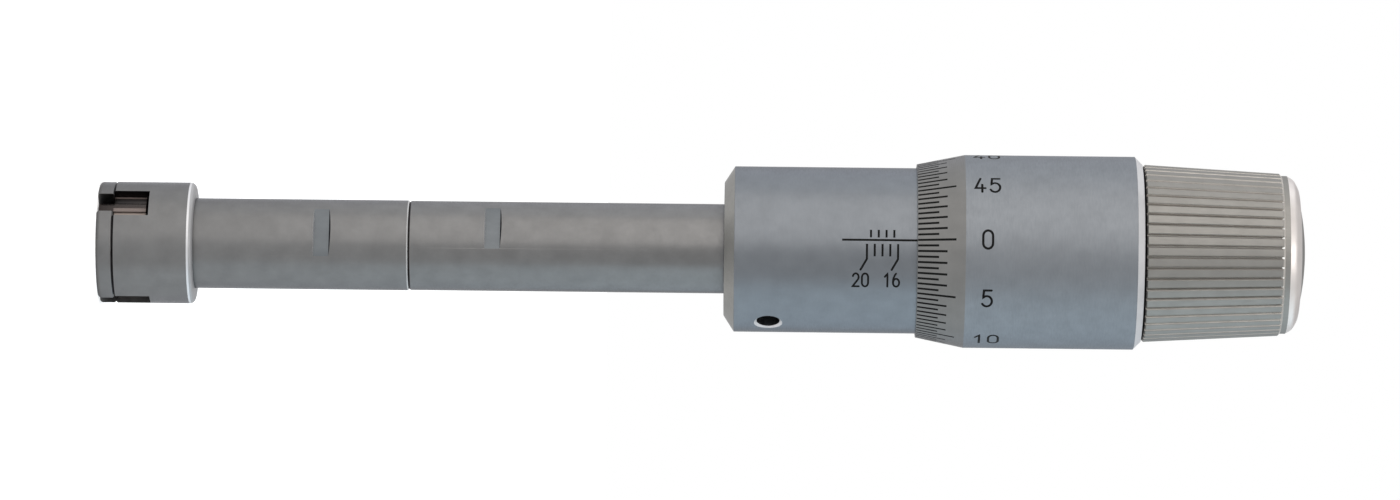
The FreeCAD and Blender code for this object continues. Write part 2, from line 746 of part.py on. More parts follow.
# Anvils: steel blocks that slide outwards in the slots on the slope of the cone,
# each with a carbide strip brazed along its crest and a hairpin spring on its foot.
for k in range(anvil_total):
    number = str(k + 1)
    turn = first_slot + sector * k
    anvil = plate("anvil_" + number, [
        ("anvil_heel_radius", "anvil_front"),
        ("shoulder_radius", "anvil_front"),
        ("shoulder_radius", "anvil_rear"),
        ("anvil_foot_radius", "anvil_rear"),
        ("anvil_foot_radius", "anvil_foot_end"),
        ("anvil_foot_inner", "anvil_foot_end"),
        ("anvil_heel_radius", "anvil_heel_end"),
    ], "anvil_width")
    milled(anvil, "strip_seat_" + number, box_outline(
        "strip_seat_radius", "below_cap", "beyond_head", "head_end"), "strip_width_cut")
    turn_to(anvil, turn)
    kept.append(anvil)

    strip = plate("strip_bar_" + number, box_outline(
        "strip_base_radius", "strip_setback", "tip_radius", "anvil_rear"), "strip_width")
    crown = doc.addObject("Part::Cylinder", "strip_crown_" + number)
    crown.setExpression("Radius", ref("strip_crown_radius"))
    crown.setExpression("Height", ref("head_end"))
    crown.setExpression("Placement.Base.x", ref("tip_radius") + " - " + ref("strip_crown_radius"))
    tip = doc.addObject("Part::Common", "carbide_tip_%s_crowned" % number)
    tip.Base = strip
    tip.Tool = crown
    tip.Label = "carbide_tip_" + number
    turn_to(tip, turn)
    kept.append(tip)

    leaf = val("spring_leaf")
    roof = val("pocket_roof_radius") - val("cone_contact_gap")
    bend = val("spring_bend_radius")
    lean = math.radians(val("spring_leg_angle"))
    middle = Vector(roof - bend, val("spring_bend_offset"), 0)
    start = val("slot_width") / 2 - val("leaf_start_inset")
    away = Vector(-math.sin(lean), -math.cos(lean), 0)
    square = Vector(-math.cos(lean), math.sin(lean), 0)
    outer_turn = middle + square * bend
    inner_turn = middle + square * (bend - leaf)
    floor = val("anvil_foot_radius") + val("cone_contact_gap")
    reach = (outer_turn.x - floor) / math.sin(lean)
    outer_tip = outer_turn + away * reach
    inner_tip = inner_turn + away * reach
    swing = middle + Vector(0, 1, 0) * bend
    swing_inner = middle + Vector(0, 1, 0) * (bend - leaf)
    wire = Part.Wire([
        Part.LineSegment(Vector(roof, -start, 0), Vector(roof, middle.y, 0)).toShape(),
        Part.Arc(Vector(roof, middle.y, 0), swing, outer_turn).toShape(),
        Part.LineSegment(outer_turn, outer_tip).toShape(),
        Part.LineSegment(outer_tip, inner_tip).toShape(),
        Part.LineSegment(inner_tip, inner_turn).toShape(),
        Part.Arc(inner_turn, swing_inner, Vector(roof - leaf, middle.y, 0)).toShape(),
        Part.LineSegment(Vector(roof - leaf, middle.y, 0), Vector(roof - leaf, -start, 0)).toShape(),
        Part.LineSegment(Vector(roof - leaf, -start, 0), Vector(roof, -start, 0)).toShape(),
    ])
    hairpin = doc.addObject("Part::Feature", "anvil_spring_" + number)
    hairpin.Shape = Part.Face(wire).extrude(Vector(0, 0, val("spring_leaf_width")))
    hairpin.Placement = FreeCAD.Placement(
        Vector(0, 0, val("slot_end") + (val("pocket_end") - val("slot_end")) / 2
               - val("spring_leaf_width") / 2),
        FreeCAD.Rotation(Vector(0, 0, 1), turn))
    kept.append(hairpin)

# Cone: spreads the anvils as it moves forward; its land runs in the head bore.
cone = turned("cone", [
    ("zero", "cone_nose_height"),
    ("cone_nose_radius", "cone_nose_height"),
    ("cone_land_radius", "cone_base_height"),
    ("cone_land_radius", "cone_seam_height"),
    ("cone_seam_radius", "cone_land_end"),
    ("cone_stem_radius", "cone_land_end"),
    ("cone_stem_radius", "cone_stem_end"),
    ("cone_spigot_radius", "cone_stem_end"),
    ("cone_spigot_radius", "cone_spigot_end"),
    ("zero", "cone_spigot_end"),
])
kept.append(cone)

# Guide bushes: bronze, pressed into the tubes to carry the stem and the push rod.
kept.append(turned("guide_bush", [
    ("front_bush_bore", "bush_front"),
    ("bush_flange_radius", "bush_front"),
    ("bush_flange_radius", "tube_step_height"),
    ("bush_radius", "tube_step_height"),
    ("bush_radius", "bush_end"),
    ("front_bush_bore", "bush_end"),
]))
kept.append(turned("rear_bush", [
    ("rear_bush_bore", "rear_bush_front"),
    ("bush_radius", "rear_bush_front"),
    ("bush_radius", "rear_bush_end"),
    ("rear_bush_bore", "rear_bush_end"),
]))

# Cone spring: draws the cone back when the spindle is turned out.
kept.append(coil_spring("cone_spring", "spring_coil_radius", "spring_wire_radius",
                        "coil_start", "coil_pitch", "coil_height"))

# Push rod: screwed on the stem of the cone, with a cup for the thrust ball.
kept.append(turned("push_rod", [
    ("rod_socket_radius", "cone_stem_end"),
    ("cone_stem_radius", "cone_stem_end"),
    ("cone_stem_radius", "rod_collar_height"),
    ("rod_collar_radius", "rod_collar_height"),
    ("rod_collar_radius", "rod_collar_end"),
    ("rod_radius", "rod_collar_end"),
    ("rod_radius", "rod_end_height"),
    ("cup_mouth_radius", "rod_end_height"),
    ("zero", "cup_apex_height"),
    ("zero", "rod_socket_end"),
    ("rod_socket_radius", "rod_socket_end"),
]))

# Thrust ball between the push rod and the spindle.
ball = doc.addObject("Part::Sphere", "thrust_ball")
ball.setExpression("Radius", ref("ball_radius"))
ball.setExpression("Placement.Base.z", ref("ball_height"))
kept.append(ball)

# Front tube: its spigot screws into the head; two flats take a spanner.
front_tube = turned("front_tube", [
    ("head_bore_radius", "front_spigot_front"),
    ("head_spigot_radius", "front_spigot_front"),
    ("head_spigot_radius", "head_end"),
    ("front_tube_radius", "head_end"),
    ("front_tube_radius", "front_tube_seam_height"),
    ("front_tube_seam_radius", "front_tube_end"),
    ("joint_socket_radius", "front_tube_end"),
    ("joint_socket_radius", "joint_socket_height"),
    ("tube_bore_radius", "joint_socket_height"),
    ("tube_bore_radius", "tube_step_height"),
    ("head_bore_radius", "tube_step_height"),
])
milled(front_tube, "front_flat", box_outline(
    "front_flat_half_width", "front_flat_height", "beyond_tube", "front_flat_end"),
    "flat_cut_width", 2)
turn_to(front_tube, val("front_flat_direction"))
kept.append(front_tube)

# Rear tube: joins the front tube to the barrel, with flats of its own.
rear_tube = turned("rear_tube", [
    ("tube_bore_radius", "joint_spigot_front"),
    ("tube_joint_radius", "joint_spigot_front"),
    ("tube_joint_radius", "front_tube_end"),
    ("rear_tube_seam_radius", "front_tube_end"),
    ("rear_tube_radius", "rear_tube_seam_height"),
    ("rear_tube_radius", "rear_tube_end"),
    ("barrel_spigot_radius", "rear_tube_end"),
    ("barrel_spigot_radius", "barrel_spigot_end"),
    ("tube_bore_radius", "barrel_spigot_end"),
])
milled(rear_tube, "rear_flat", box_outline(
    "rear_flat_half_width", "rear_flat_height", "beyond_tube", "rear_flat_end"),
    "flat_cut_width", 2)
turn_to(rear_tube, val("rear_flat_direction"))
kept.append(rear_tube)

# Inner barrel: holds the tube's spigot in front and ends in the slit nut of the spindle.
inner_barrel = turned("inner_barrel", [
    ("barrel_socket_radius", "barrel_front"),
    ("barrel_radius", "barrel_front"),
    ("barrel_radius", "barrel_seam_height"),
    ("barrel_seam_radius", "nut_neck_height"),
    ("nut_radius", "nut_neck_height"),
    ("nut_radius", "barrel_end_height"),
    ("nut_bore_radius", "barrel_end_height"),
    ("nut_bore_radius", "nut_start"),
    ("spindle_bore_radius", "nut_start"),
    ("spindle_bore_radius", "barrel_socket_end"),
    ("barrel_socket_radius", "barrel_socket_end"),
])
milled(inner_barrel, "nut_slit", box_outline(
    "cone_stem_radius", "nut_slit_start", "nut_slit_reach", "nut_slit_end"),
    "nut_slit_width", int(val("nut_slit_count")))
screw_way = val("screw_hole_direction")
thread_hole = radial_cylinder("thread_hole", "screw_hole_radius", screw_way,
                              "screw_hole_height", "rod_radius", "beyond_head")
kept.append(cut("inner_barrel", inner_barrel, [thread_hole]))

# Adjusting nut: closes the slit nut on the thread.
kept.append(turned("adjusting_nut", [
    ("adjuster_bore_radius", "adjuster_front"),
    ("adjuster_radius", "adjuster_front"),
    ("adjuster_radius", "adjuster_seam_height"),
    ("adjuster_seam_radius", "adjuster_end"),
    ("adjuster_bore_radius", "adjuster_end"),
]))

# Set screw: socket screw at the bottom of the hole in the sleeve.
screw_bar = radial_cylinder("screw_bar", "screw_thread_radius", screw_way,
                            "screw_hole_height", "screw_inner_radius", "screw_length")
hex_tool = doc.addObject("Part::Prism", "screw_hex_socket")
hex_tool.Polygon = 6
hex_tool.setExpression("Circumradius", ref("screw_hex") + " / sqrt(3)")
hex_tool.setExpression("Height", ref("screw_hex_depth") + " + " + ref("cut_margin"))
screw_axis = Vector(math.cos(math.radians(screw_way)), math.sin(math.radians(screw_way)), 0)
hex_tool.Placement = FreeCAD.Placement(
    screw_axis * (val("screw_outer_radius") - val("screw_hex_depth"))
    + Vector(0, 0, val("screw_hole_height")),
    FreeCAD.Rotation(Vector(0, 0, 1), screw_axis))
kept.append(cut("sleeve_set_screw", screw_bar, [hex_tool]))

# Sleeve: the graduated barrel, with its index line and ticks cut as shallow lines.
sleeve = turned("sleeve", [
    ("barrel_socket_radius", "rear_tube_end"),
    ("sleeve_face_radius", "rear_tube_end"),
    ("sleeve_radius", "sleeve_chamfer_end"),
    ("sleeve_radius", "sleeve_end"),
    ("sleeve_bore_radius", "sleeve_end"),
    ("sleeve_bore_radius", "sleeve_wall_end"),
    ("barrel_socket_radius", "sleeve_wall_end"),
])
wall_hole = radial_cylinder("wall_hole", "screw_hole_radius", screw_way,
                            "screw_hole_height", "rear_tube_radius", "beyond_head")
hole_mouth = doc.addObject("Part::Cone", "hole_mouth")
hole_mouth.setExpression("Radius1", ref("screw_hole_radius"))
hole_mouth.setExpression("Radius2", ref("screw_hole_mouth") + " + " + ref("cut_margin"))
hole_mouth.setExpression("Height", ref("screw_hole_chamfer") + " + " + ref("cut_margin"))
hole_mouth.Placement = FreeCAD.Placement(
    screw_axis * (val("sleeve_radius") - val("screw_hole_chamfer"))
    + Vector(0, 0, val("screw_hole_height")),
    FreeCAD.Rotation(Vector(0, 0, 1), screw_axis))

scale_lines = []


def scale_line(name, across, along, width, height):
    """A bar through the -Y side of the sleeve, by its low corner and its size."""
    bar = doc.addObject("Part::Box", name)
    bar.setExpression("Length", width)
    bar.setExpression("Width", ref("sleeve_radius"))
    bar.setExpression("Height", height)
    bar.setExpression("Placement.Base.x", across)
    bar.setExpression("Placement.Base.y", "-1.2 * " + ref("sleeve_radius"))
    bar.setExpression("Placement.Base.z", along)
    scale_lines.append(bar)


line = ref("index_line_width")
scale_line("index_line", "-" + line + " / 2", ref("index_front"), line,
           "%s - %s + %s" % (ref("thimble_front"), ref("index_front"), ref("index_tail")))
for k in range(int(val("lower_tick_count"))):
    scale_line("lower_tick_%d" % k, ref("lower_tick_gap"),
               "%s + %d * %s - %s / 2" % (ref("scale_top"), k, ref("tick_pitch"), line),
               ref("lower_tick_length"), line)
for k in range(int(val("upper_tick_count"))):
    scale_line("upper_tick_%d" % k,
               "-%s - %s" % (ref("upper_tick_gap"), ref("upper_tick_length")),
               "%s + %g * %s - %s / 2" % (ref("scale_top"), k + 0.5, ref("tick_pitch"), line),
               ref("upper_tick_length"), line)
line_group = doc.addObject("Part::MultiFuse", "scale_line_group")
line_group.Shapes = scale_lines
line_floor = doc.addObject("Part::Cylinder", "scale_line_floor")
line_floor.setExpression("Radius", ref("sleeve_radius") + " - " + ref("line_depth"))
line_floor.setExpression("Height", ref("thimble_end"))
line_cutter = doc.addObject("Part::Cut", "scale_line_cutter")
line_cutter.Base = line_group
line_cutter.Tool = line_floor
kept.append(cut("sleeve", sleeve, [wall_hole, hole_mouth, line_cutter]))

# Spindle: plain in front, threaded in the slit nut, seated in the thimble.
kept.append(turned("micrometer_spindle", [
    ("zero", "spindle_front"),
    ("spindle_radius", "spindle_front"),
    ("spindle_radius", "thread_front"),
    ("thread_radius", "thread_front"),
    ("thread_radius", "thimble_wall_front"),
    ("spindle_seat_radius", "thimble_wall_front"),
    ("spindle_seat_radius", "spindle_end"),
    ("stem_hole_radius", "spindle_end"),
    ("stem_hole_radius", "stem_hole_front"),
    ("zero", "stem_hole_front"),
]))

# Thimble: a turned shell with a graduated bevel over the sleeve.
thimble = turned("thimble", [
    ("thimble_bore_radius", "thimble_front"),
    ("thimble_edge_radius", "thimble_front"),
    ("thimble_radius", "thimble_bevel_end"),
    ("thimble_radius", "thimble_back_height"),
    ("thimble_back_radius", "thimble_end"),
    ("thimble_hole_radius", "thimble_end"),
    ("thimble_hole_radius", "thimble_wall_front"),
    ("thimble_bore_radius", "thimble_wall_front"),
])
bevel_rise = val("thimble_radius") - val("thimble_edge_radius")
bevel_lean = math.degrees(math.atan2(bevel_rise, val("thimble_bevel_length")))


def bevel_line(name, length):
    """A bar on the -Y side that cuts one line of the bevel from its front edge."""
    bar = doc.addObject("Part::Box", name)
    bar.setExpression("Length", ref("bevel_line_width"))
    bar.setExpression("Width", ref("thimble_radius"))
    bar.setExpression("Height", ref(length) + " + " + ref("cut_margin"))
    lean = FreeCAD.Rotation(Vector(1, 0, 0), bevel_lean)
    corner = Vector(-val("bevel_line_width") / 2, -val("thimble_radius"), -val("cut_margin"))
    edge = Vector(0, -val("thimble_edge_radius") + val("line_depth"), val("thimble_front"))
    bar.Placement = FreeCAD.Placement(edge + lean.multVec(corner), lean)
    return bar


short_line = bevel_line("short_line", "short_line_length")
middle_line = bevel_line("middle_line", "middle_line_length")
long_line = bevel_line("long_line", "long_line_length")
doc.recompute()
longest = round_the_axis("long_lines", long_line, int(val("long_line_count")))
middles = round_the_axis("middle_lines", middle_line, int(val("middle_line_count")))
shorts = round_the_axis("short_lines", short_line, int(val("hundredth_line_count")))
kept.append(cut("thimble", thimble, [longest, middles, shorts]))

# Ratchet stem: clamps the thimble on the spindle and carries the ratchet.
kept.append(turned("ratchet_stem", [
    ("zero", "stem_front"),
    ("stem_thread_radius", "stem_front"),
    ("stem_thread_radius", "flange_front"),
    ("stem_flange_radius", "flange_front"),
    ("stem_flange_radius", "flange_end"),
    ("stem_radius", "flange_end"),
    ("stem_radius", "stem_end"),
    ("end_screw_hole_radius", "stem_end"),
    ("end_screw_hole_radius", "end_screw_hole_front"),
    ("zero", "end_screw_hole_front"),
]))


def tooth_ring(name, height, tilt):
    """Radial notches round a face: square bars tilted so that one side stands steep."""
    bar = doc.addObject("Part::Box", name)
    depth = val("tooth_depth")
    bar.Length = 2 * val("knob_chamber_radius")
    bar.Width = depth * math.sqrt(2)
    bar.Height = depth * math.sqrt(2)
    turn = FreeCAD.Rotation(Vector(1, 0, 0), tilt)
    bar.Placement = FreeCAD.Placement(Vector(val("stem_radius"), 0, height - depth), turn)
    doc.recompute()
    return round_the_axis(name + "_ring", bar, int(val("tooth_count")))


# Ratchet wheel on the stem and pawl disc in the knob: their face teeth slip past each
# other. The discs stand a tooth clearance apart, so that the knob can turn full circle.
wheel = turned("ratchet_wheel", [
    ("wheel_bore_radius", "wheel_front"),
    ("wheel_radius", "wheel_front"),
    ("wheel_radius", "wheel_end"),
    ("wheel_bore_radius", "wheel_end"),
])
wheel_teeth = tooth_ring("wheel_notch", val("wheel_end"), 45)
kept.append(cut("ratchet_wheel", wheel, [wheel_teeth]))
pawl = turned("pawl_disc", [
    ("knob_bore_radius", "pawl_front"),
    ("pawl_radius", "pawl_front"),
    ("pawl_radius", "pawl_end"),
    ("knob_bore_radius", "pawl_end"),
])
pawl_teeth = tooth_ring("pawl_notch", val("pawl_front") - val("tooth_depth"), 45)
kept.append(cut("pawl_disc", pawl, [pawl_teeth]))

# Ratchet spring: presses the pawl disc forward from the web of the knob.
kept.append(coil_spring("ratchet_spring", "ratchet_coil_radius", "ratchet_wire_radius",
                        "ratchet_coil_start", "ratchet_coil_pitch", "ratchet_coil_height"))

# Ratchet knob: a tapered grip with straight flutes, a plain band and a rounded end.
knob = turned("ratchet_knob", [
    ("knob_chamber_radius", "knob_front"),
    ("knob_face_radius", "knob_front"),
    ("knob_front_radius", "knob_front_edge"),
    ("knob_back_radius", "knob_grip_end"),
    ("knob_band_radius", "knob_step_end"),
    ("knob_band_radius", "knob_band_end", "knob_shoulder_radius"),
    ("cap_seat_radius", "knob_end"),
    ("cap_seat_radius", "cap_seat_height"),
    ("plug_hole_radius", "cap_seat_height"),
    ("plug_hole_radius", "knob_web_end"),
    ("knob_bore_radius", "knob_web_end"),
    ("knob_bore_radius", "knob_chamber_end"),
    ("knob_chamber_radius", "knob_chamber_end"),
])
taper = math.degrees(math.atan2(
    val("knob_front_radius") - val("knob_back_radius"), val("knob_grip_length")))
# The V goes on past the surface of the grip by the cut margin
flute_mouth = val("flute_depth") + val("cut_margin")
half_mouth = val("flute_width") / 2 * flute_mouth / val("flute_depth")
flute_face = Part.makePolygon([
    Vector(0, 0, 0),
    Vector(half_mouth, -flute_mouth, 0),
    Vector(-half_mouth, -flute_mouth, 0),
    Vector(0, 0, 0),
])
flute_length = val("knob_grip_length") + val("flute_runout") + val("cut_margin")
flute = doc.addObject("Part::Feature", "flute_cutter")
flute.Shape = Part.Face(flute_face).extrude(Vector(0, 0, flute_length))
lean = FreeCAD.Rotation(Vector(1, 0, 0), -taper)
flute_edge = Vector(0, val("flute_depth") - val("knob_front_radius"), val("knob_front"))
flute_turn = FreeCAD.Placement(
    Vector(0, 0, 0), FreeCAD.Rotation(Vector(0, 0, 1), val("flute_turn")))
flute.Placement = flute_turn.multiply(FreeCAD.Placement(
    flute_edge - lean.multVec(Vector(0, 0, val("cut_margin"))), lean))
doc.recompute()
flutes = round_the_axis("flutes", flute, int(val("flute_count")))
kept.append(cut("ratchet_knob", knob, [flutes]))

# Washer and screw that keep the knob on the stem.
kept.append(turned("retaining_washer", [
    ("washer_bore_radius", "washer_front"),
    ("washer_radius", "washer_front"),
    ("washer_radius", "washer_end"),
    ("washer_bore_radius", "washer_end"),
]))
end_screw = turned("retaining_screw", [
    ("zero", "end_screw_front"),
    ("end_screw_radius", "end_screw_front"),
    ("end_screw_radius", "washer_end"),
    ("end_screw_head_radius", "washer_end"),
    ("end_screw_head_radius", "end_screw_end"),
    ("zero", "end_screw_end"),
])
milled(end_screw, "end_screw_slot", box_outline(
    "zero", "end_screw_slot_floor", "stem_radius", "end_cap_apex"), "end_screw_slot_width", 2)
kept.append(end_screw)

# End cap: a shallow dome that closes the back of the knob.
kept.append(turned("end_cap", [
    ("zero", "end_cap_plug_front"),
    ("end_cap_plug_radius", "end_cap_plug_front"),
    ("end_cap_plug_radius", "end_cap_rim_front"),
    ("end_cap_radius", "end_cap_rim_front"),
    ("end_cap_radius", "end_cap_edge_height", "end_cap_dome_radius"),
    ("zero", "end_cap_apex"),
]))

doc.recompute()
for item in doc.Objects:
    if "Invalid" in item.State or "Error" in item.State:
        raise RuntimeError("%s failed: %s" % (item.Label, item.State))
for item in kept:
    shape = item.Shape
    if shape.isNull() or not shape.isValid() or not shape.Solids:
        raise RuntimeError("bad shape: " + item.Label)
    shape.exportStep("parts/%s.step" % item.Label)
    print(item.Label, len(shape.Solids), round(shape.Volume, 3))
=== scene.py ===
import math

import bmesh
import bpy
from mathutils import Matrix, Vector


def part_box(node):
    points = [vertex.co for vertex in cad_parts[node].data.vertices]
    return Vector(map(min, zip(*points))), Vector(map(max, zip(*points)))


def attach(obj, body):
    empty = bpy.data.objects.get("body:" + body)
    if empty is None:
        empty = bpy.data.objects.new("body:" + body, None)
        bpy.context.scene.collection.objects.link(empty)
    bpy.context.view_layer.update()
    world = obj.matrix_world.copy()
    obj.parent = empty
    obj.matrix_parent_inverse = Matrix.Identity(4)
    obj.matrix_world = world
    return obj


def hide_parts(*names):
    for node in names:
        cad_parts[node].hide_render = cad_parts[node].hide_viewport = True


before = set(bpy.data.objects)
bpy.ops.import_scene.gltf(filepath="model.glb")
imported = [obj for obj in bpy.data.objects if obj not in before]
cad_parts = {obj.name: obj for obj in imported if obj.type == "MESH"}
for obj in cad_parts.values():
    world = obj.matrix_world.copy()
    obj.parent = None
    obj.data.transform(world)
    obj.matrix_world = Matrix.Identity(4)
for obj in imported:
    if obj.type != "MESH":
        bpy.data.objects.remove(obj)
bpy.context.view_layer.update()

mm = 0.001

# Works inside the shells: cone, rod, screw spindle, nut, bushes, springs and ratchet,
# turned or ground from steel and bronze. Each keeps its solid and gets its own finish:
# a metal with the fine rings or grain that its machining left.


def wire_up(tree, pairs):
    """Link outputs to inputs, given as pairs of sockets."""
    for source, target in pairs:
        tree.links.new(source, target)


def metal(name, colour, roughness, rings=9.0, around=0.25, depth=0.0012, cloud=0.05, spread=0.05,
          metallic=1.0):
    """A bare metal. rings and around are tool marks for each mm along and across the axis,
    depth their height in mm, cloud the unevenness of tone and spread that of the gloss.
    Faced and bright turned surfaces and the painted light scatter more, with metallic below one."""
    material = bpy.data.materials.new(name)
    material.use_nodes = True
    tree = material.node_tree
    shader = tree.nodes["Principled BSDF"]
    shader.inputs["Metallic"].default_value = metallic
    shader.inputs["Specular Tint"].default_value = (0.6, 0.6, 0.62, 1)
    place = tree.nodes.new("ShaderNodeTexCoord").outputs["Object"]
    turn = tree.nodes.new("ShaderNodeMapping")
    turn.inputs["Scale"].default_value = (around / mm, around / mm, rings / mm)
    marks = tree.nodes.new("ShaderNodeTexNoise")
    marks.inputs["Scale"].default_value = 1.0
    marks.inputs["Detail"].default_value = 2.0
    bump = tree.nodes.new("ShaderNodeBump")
    bump.inputs["Strength"].default_value = 1.0
    bump.inputs["Distance"].default_value = depth * mm
    clouds = tree.nodes.new("ShaderNodeTexNoise")
    clouds.inputs["Scale"].default_value = 0.45 / mm
    clouds.inputs["Detail"].default_value = 3.0
    tone = tree.nodes.new("ShaderNodeMapRange")
    tone.inputs["From Min"].default_value = 0.3
    tone.inputs["From Max"].default_value = 0.7
    tone.inputs["To Min"].default_value = 1.0 - cloud
    tone.inputs["To Max"].default_value = 1.0 + cloud
    tint = tree.nodes.new("ShaderNodeVectorMath")
    tint.operation = "SCALE"
    tint.inputs[0].default_value = colour
    gloss = tree.nodes.new("ShaderNodeMapRange")
    gloss.inputs["From Min"].default_value = 0.3
    gloss.inputs["From Max"].default_value = 0.7
    gloss.inputs["To Min"].default_value = roughness - spread
    gloss.inputs["To Max"].default_value = roughness + spread
    wire_up(tree, [
        (place, turn.inputs["Vector"]),
        (turn.outputs["Vector"], marks.inputs["Vector"]),
        (marks.outputs["Fac"], bump.inputs["Height"]),
        (bump.outputs["Normal"], shader.inputs["Normal"]),
        (place, clouds.inputs["Vector"]),
        (clouds.outputs["Fac"], tone.inputs["Value"]),
        (tone.outputs["Result"], tint.inputs["Scale"]),
        (tint.outputs["Vector"], shader.inputs["Base Color"]),
        (marks.outputs["Fac"], gloss.inputs["Value"]),
        (gloss.outputs["Result"], shader.inputs["Roughness"]),
    ])
    return material


ground_steel = metal("ground steel", (0.30, 0.28, 0.27), 0.28)
spring_steel = metal("spring steel", (0.20, 0.20, 0.21), 0.3, rings=2.0, around=2.0)
turned_bronze = metal("turned bronze", (0.45, 0.27, 0.12), 0.3)

inner_nodes = {
    ground_steel: ["cap_screws", "cone", "push_rod", "thrust_ball", "inner_barrel", "adjusting_nut",
                   "micrometer_spindle", "ratchet_stem", "ratchet_wheel", "pawl_disc",
                   "retaining_washer", "retaining_screw"],
    spring_steel: ["anvil_spring_1", "anvil_spring_2", "anvil_spring_3", "cone_spring",
                   "ratchet_spring"],
    turned_bronze: ["guide_bush", "rear_bush"],
}
for finish, names in inner_nodes.items():
    for name in names:
        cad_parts[name].data.materials.clear()
        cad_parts[name].data.materials.append(finish)

# Tubes: two plain steel tubes, turned, bead-blasted to a satin grey and screwed end to
# end. Each has two flats milled across it for a spanner. Their ends are chamfered.

satin_steel = metal("satin steel", (0.127, 0.126, 0.126), 0.34, rings=4.0, around=1.5, depth=0.0015,
                    cloud=0.07)
# Bright turned steel for the polished edges, also a painted highlight on one end of each spanner
# flat.
bright_steel_and_highlight = metal("bright turned steel and painted highlight", (0.45, 0.45, 0.46), 0.45, rings=8.0, around=0.5,
                     metallic=0.6)
pale_steel = metal("faced steel", (0.25, 0.25, 0.255), 0.45, rings=2.0, around=2.0, metallic=0.4)
# Light grey painted highlight on the front tube's chamfer at the joint between the tubes.
seam_highlight_paint = metal("painted seam highlight", (0.4, 0.4, 0.405), 0.45, rings=2.0, around=2.0, metallic=0.4)
milled_steel = metal("milled steel", (0.1, 0.108, 0.115), 0.34, rings=0.8, around=4.0, depth=0.0006)
# Near-black steel: painted shade in the slots, at the seams and on one end of each flat, and the
# colour of the set screw.
shade_and_dark_steel = metal("dark steel and painted shade", (0.03, 0.028, 0.028), 0.4, rings=3.0, around=3.0)
tube_finishes = [satin_steel, bright_steel_and_highlight, shade_and_dark_steel, milled_steel, seam_highlight_paint]
painted_highlight_mark, painted_shade_mark, milled_mark, seam_highlight_mark = 1, 2, 3, 4
segments = 300
fine_edge = 0.04


def span(node):
    """Radius, low end and high end of a turned CAD node, in mm."""
    low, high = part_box(node)
    return max(-low.x, -low.y, high.x, high.y) / mm, low.z / mm, high.z / mm


def eased(outline, edge):
    """The points of an outline with each corner rounded by its own radius, or by edge,
    and with a point close to each end of a straight run, which keeps its shading flat."""
    closed = outline[0][0] > 0
    points = [Vector(p[:2]) for p in outline]
    result = []
    total = len(points)
    for k, corner in enumerate(points):
        radius = outline[k][2] if len(outline[k]) > 2 else edge
        before = points[k - 1]
        after = points[(k + 1) % total]
        if not closed and k in (0, total - 1) or radius == 0:
            result.append(corner)
            continue
        back = (before - corner).normalized()
        ahead = (after - corner).normalized()
        bend = math.pi - back.angle(ahead)
        if bend < 0.01:
            result.append(corner)
            continue
        reach = min(radius * math.tan(bend / 2), 0.45 * (before - corner).length,
                    0.45 * (after - corner).length)
        steps = max(2, math.ceil(math.degrees(bend) / 12))
        weight = math.cos(bend / 2)
        for step in range(steps + 1):
            s = step / steps
            parts = ((1 - s) ** 2, 2 * s * (1 - s) * weight, s ** 2)
            spot = (corner + back * reach) * parts[0] + corner * parts[1]
            spot += (corner + ahead * reach) * parts[2]
            result.append(spot / sum(parts))
    held = []
    guard = 0.03
    for k, point in enumerate(result):
        follower = result[(k + 1) % len(result)]
        held.append(point)
        run = follower - point
        if k == len(result) - 1 and not closed:
            continue
        if run.length > 6 * guard:
            held.append(point + run.normalized() * guard)
            held.append(follower - run.normalized() * guard)
    return held


def turned(name, outline, edge=fine_edge, sides=segments):
    """A turned piece: the outline, (radius, height[, round]) in mm, swept round the axis."""
    rings = []
    mesh = bmesh.new()
    for point in eased(outline, edge):
        if point.x < 1e-6:
            rings.append([mesh.verts.new((0, 0, point.y * mm))])
            continue
        ring = []
        for k in range(sides):
            angle = 2 * math.pi * k / sides
            spot = Vector((point.x * math.cos(angle), point.x * math.sin(angle), point.y))
            ring.append(mesh.verts.new(spot * mm))
        rings.append(ring)
    if outline[0][0] > 0:
        rings.append(rings[0])
    for low, high in zip(rings, rings[1:]):
        for k in range(sides):
            after = (k + 1) % sides
            corners = [low[k % len(low)], low[after % len(low)],
                       high[after % len(high)], high[k % len(high)]]
            distinct = list(dict.fromkeys(corners))
            if len(distinct) > 2:
                mesh.faces.new(distinct)
    bmesh.ops.recalc_face_normals(mesh, faces=mesh.faces)
    data = bpy.data.meshes.new(name)
    mesh.to_mesh(data)
    mesh.free()
    return data


def box_mesh(low, high, turn=0.0):
    """A box from corner to corner, in mm, turned about the axis by an angle in degrees."""
    mesh = bmesh.new()
    bmesh.ops.create_cube(mesh, size=1.0)
    low, high = Vector(low), Vector(high)
    for vert in mesh.verts:
        vert.co = (low + high) / 2 + vert.co * (high - low)
    mesh.transform(Matrix.Scale(mm, 4) @ Matrix.Rotation(math.radians(turn), 4, "Z"))
    data = bpy.data.meshes.new("cutter")
    mesh.to_mesh(data)
    mesh.free()
    return data


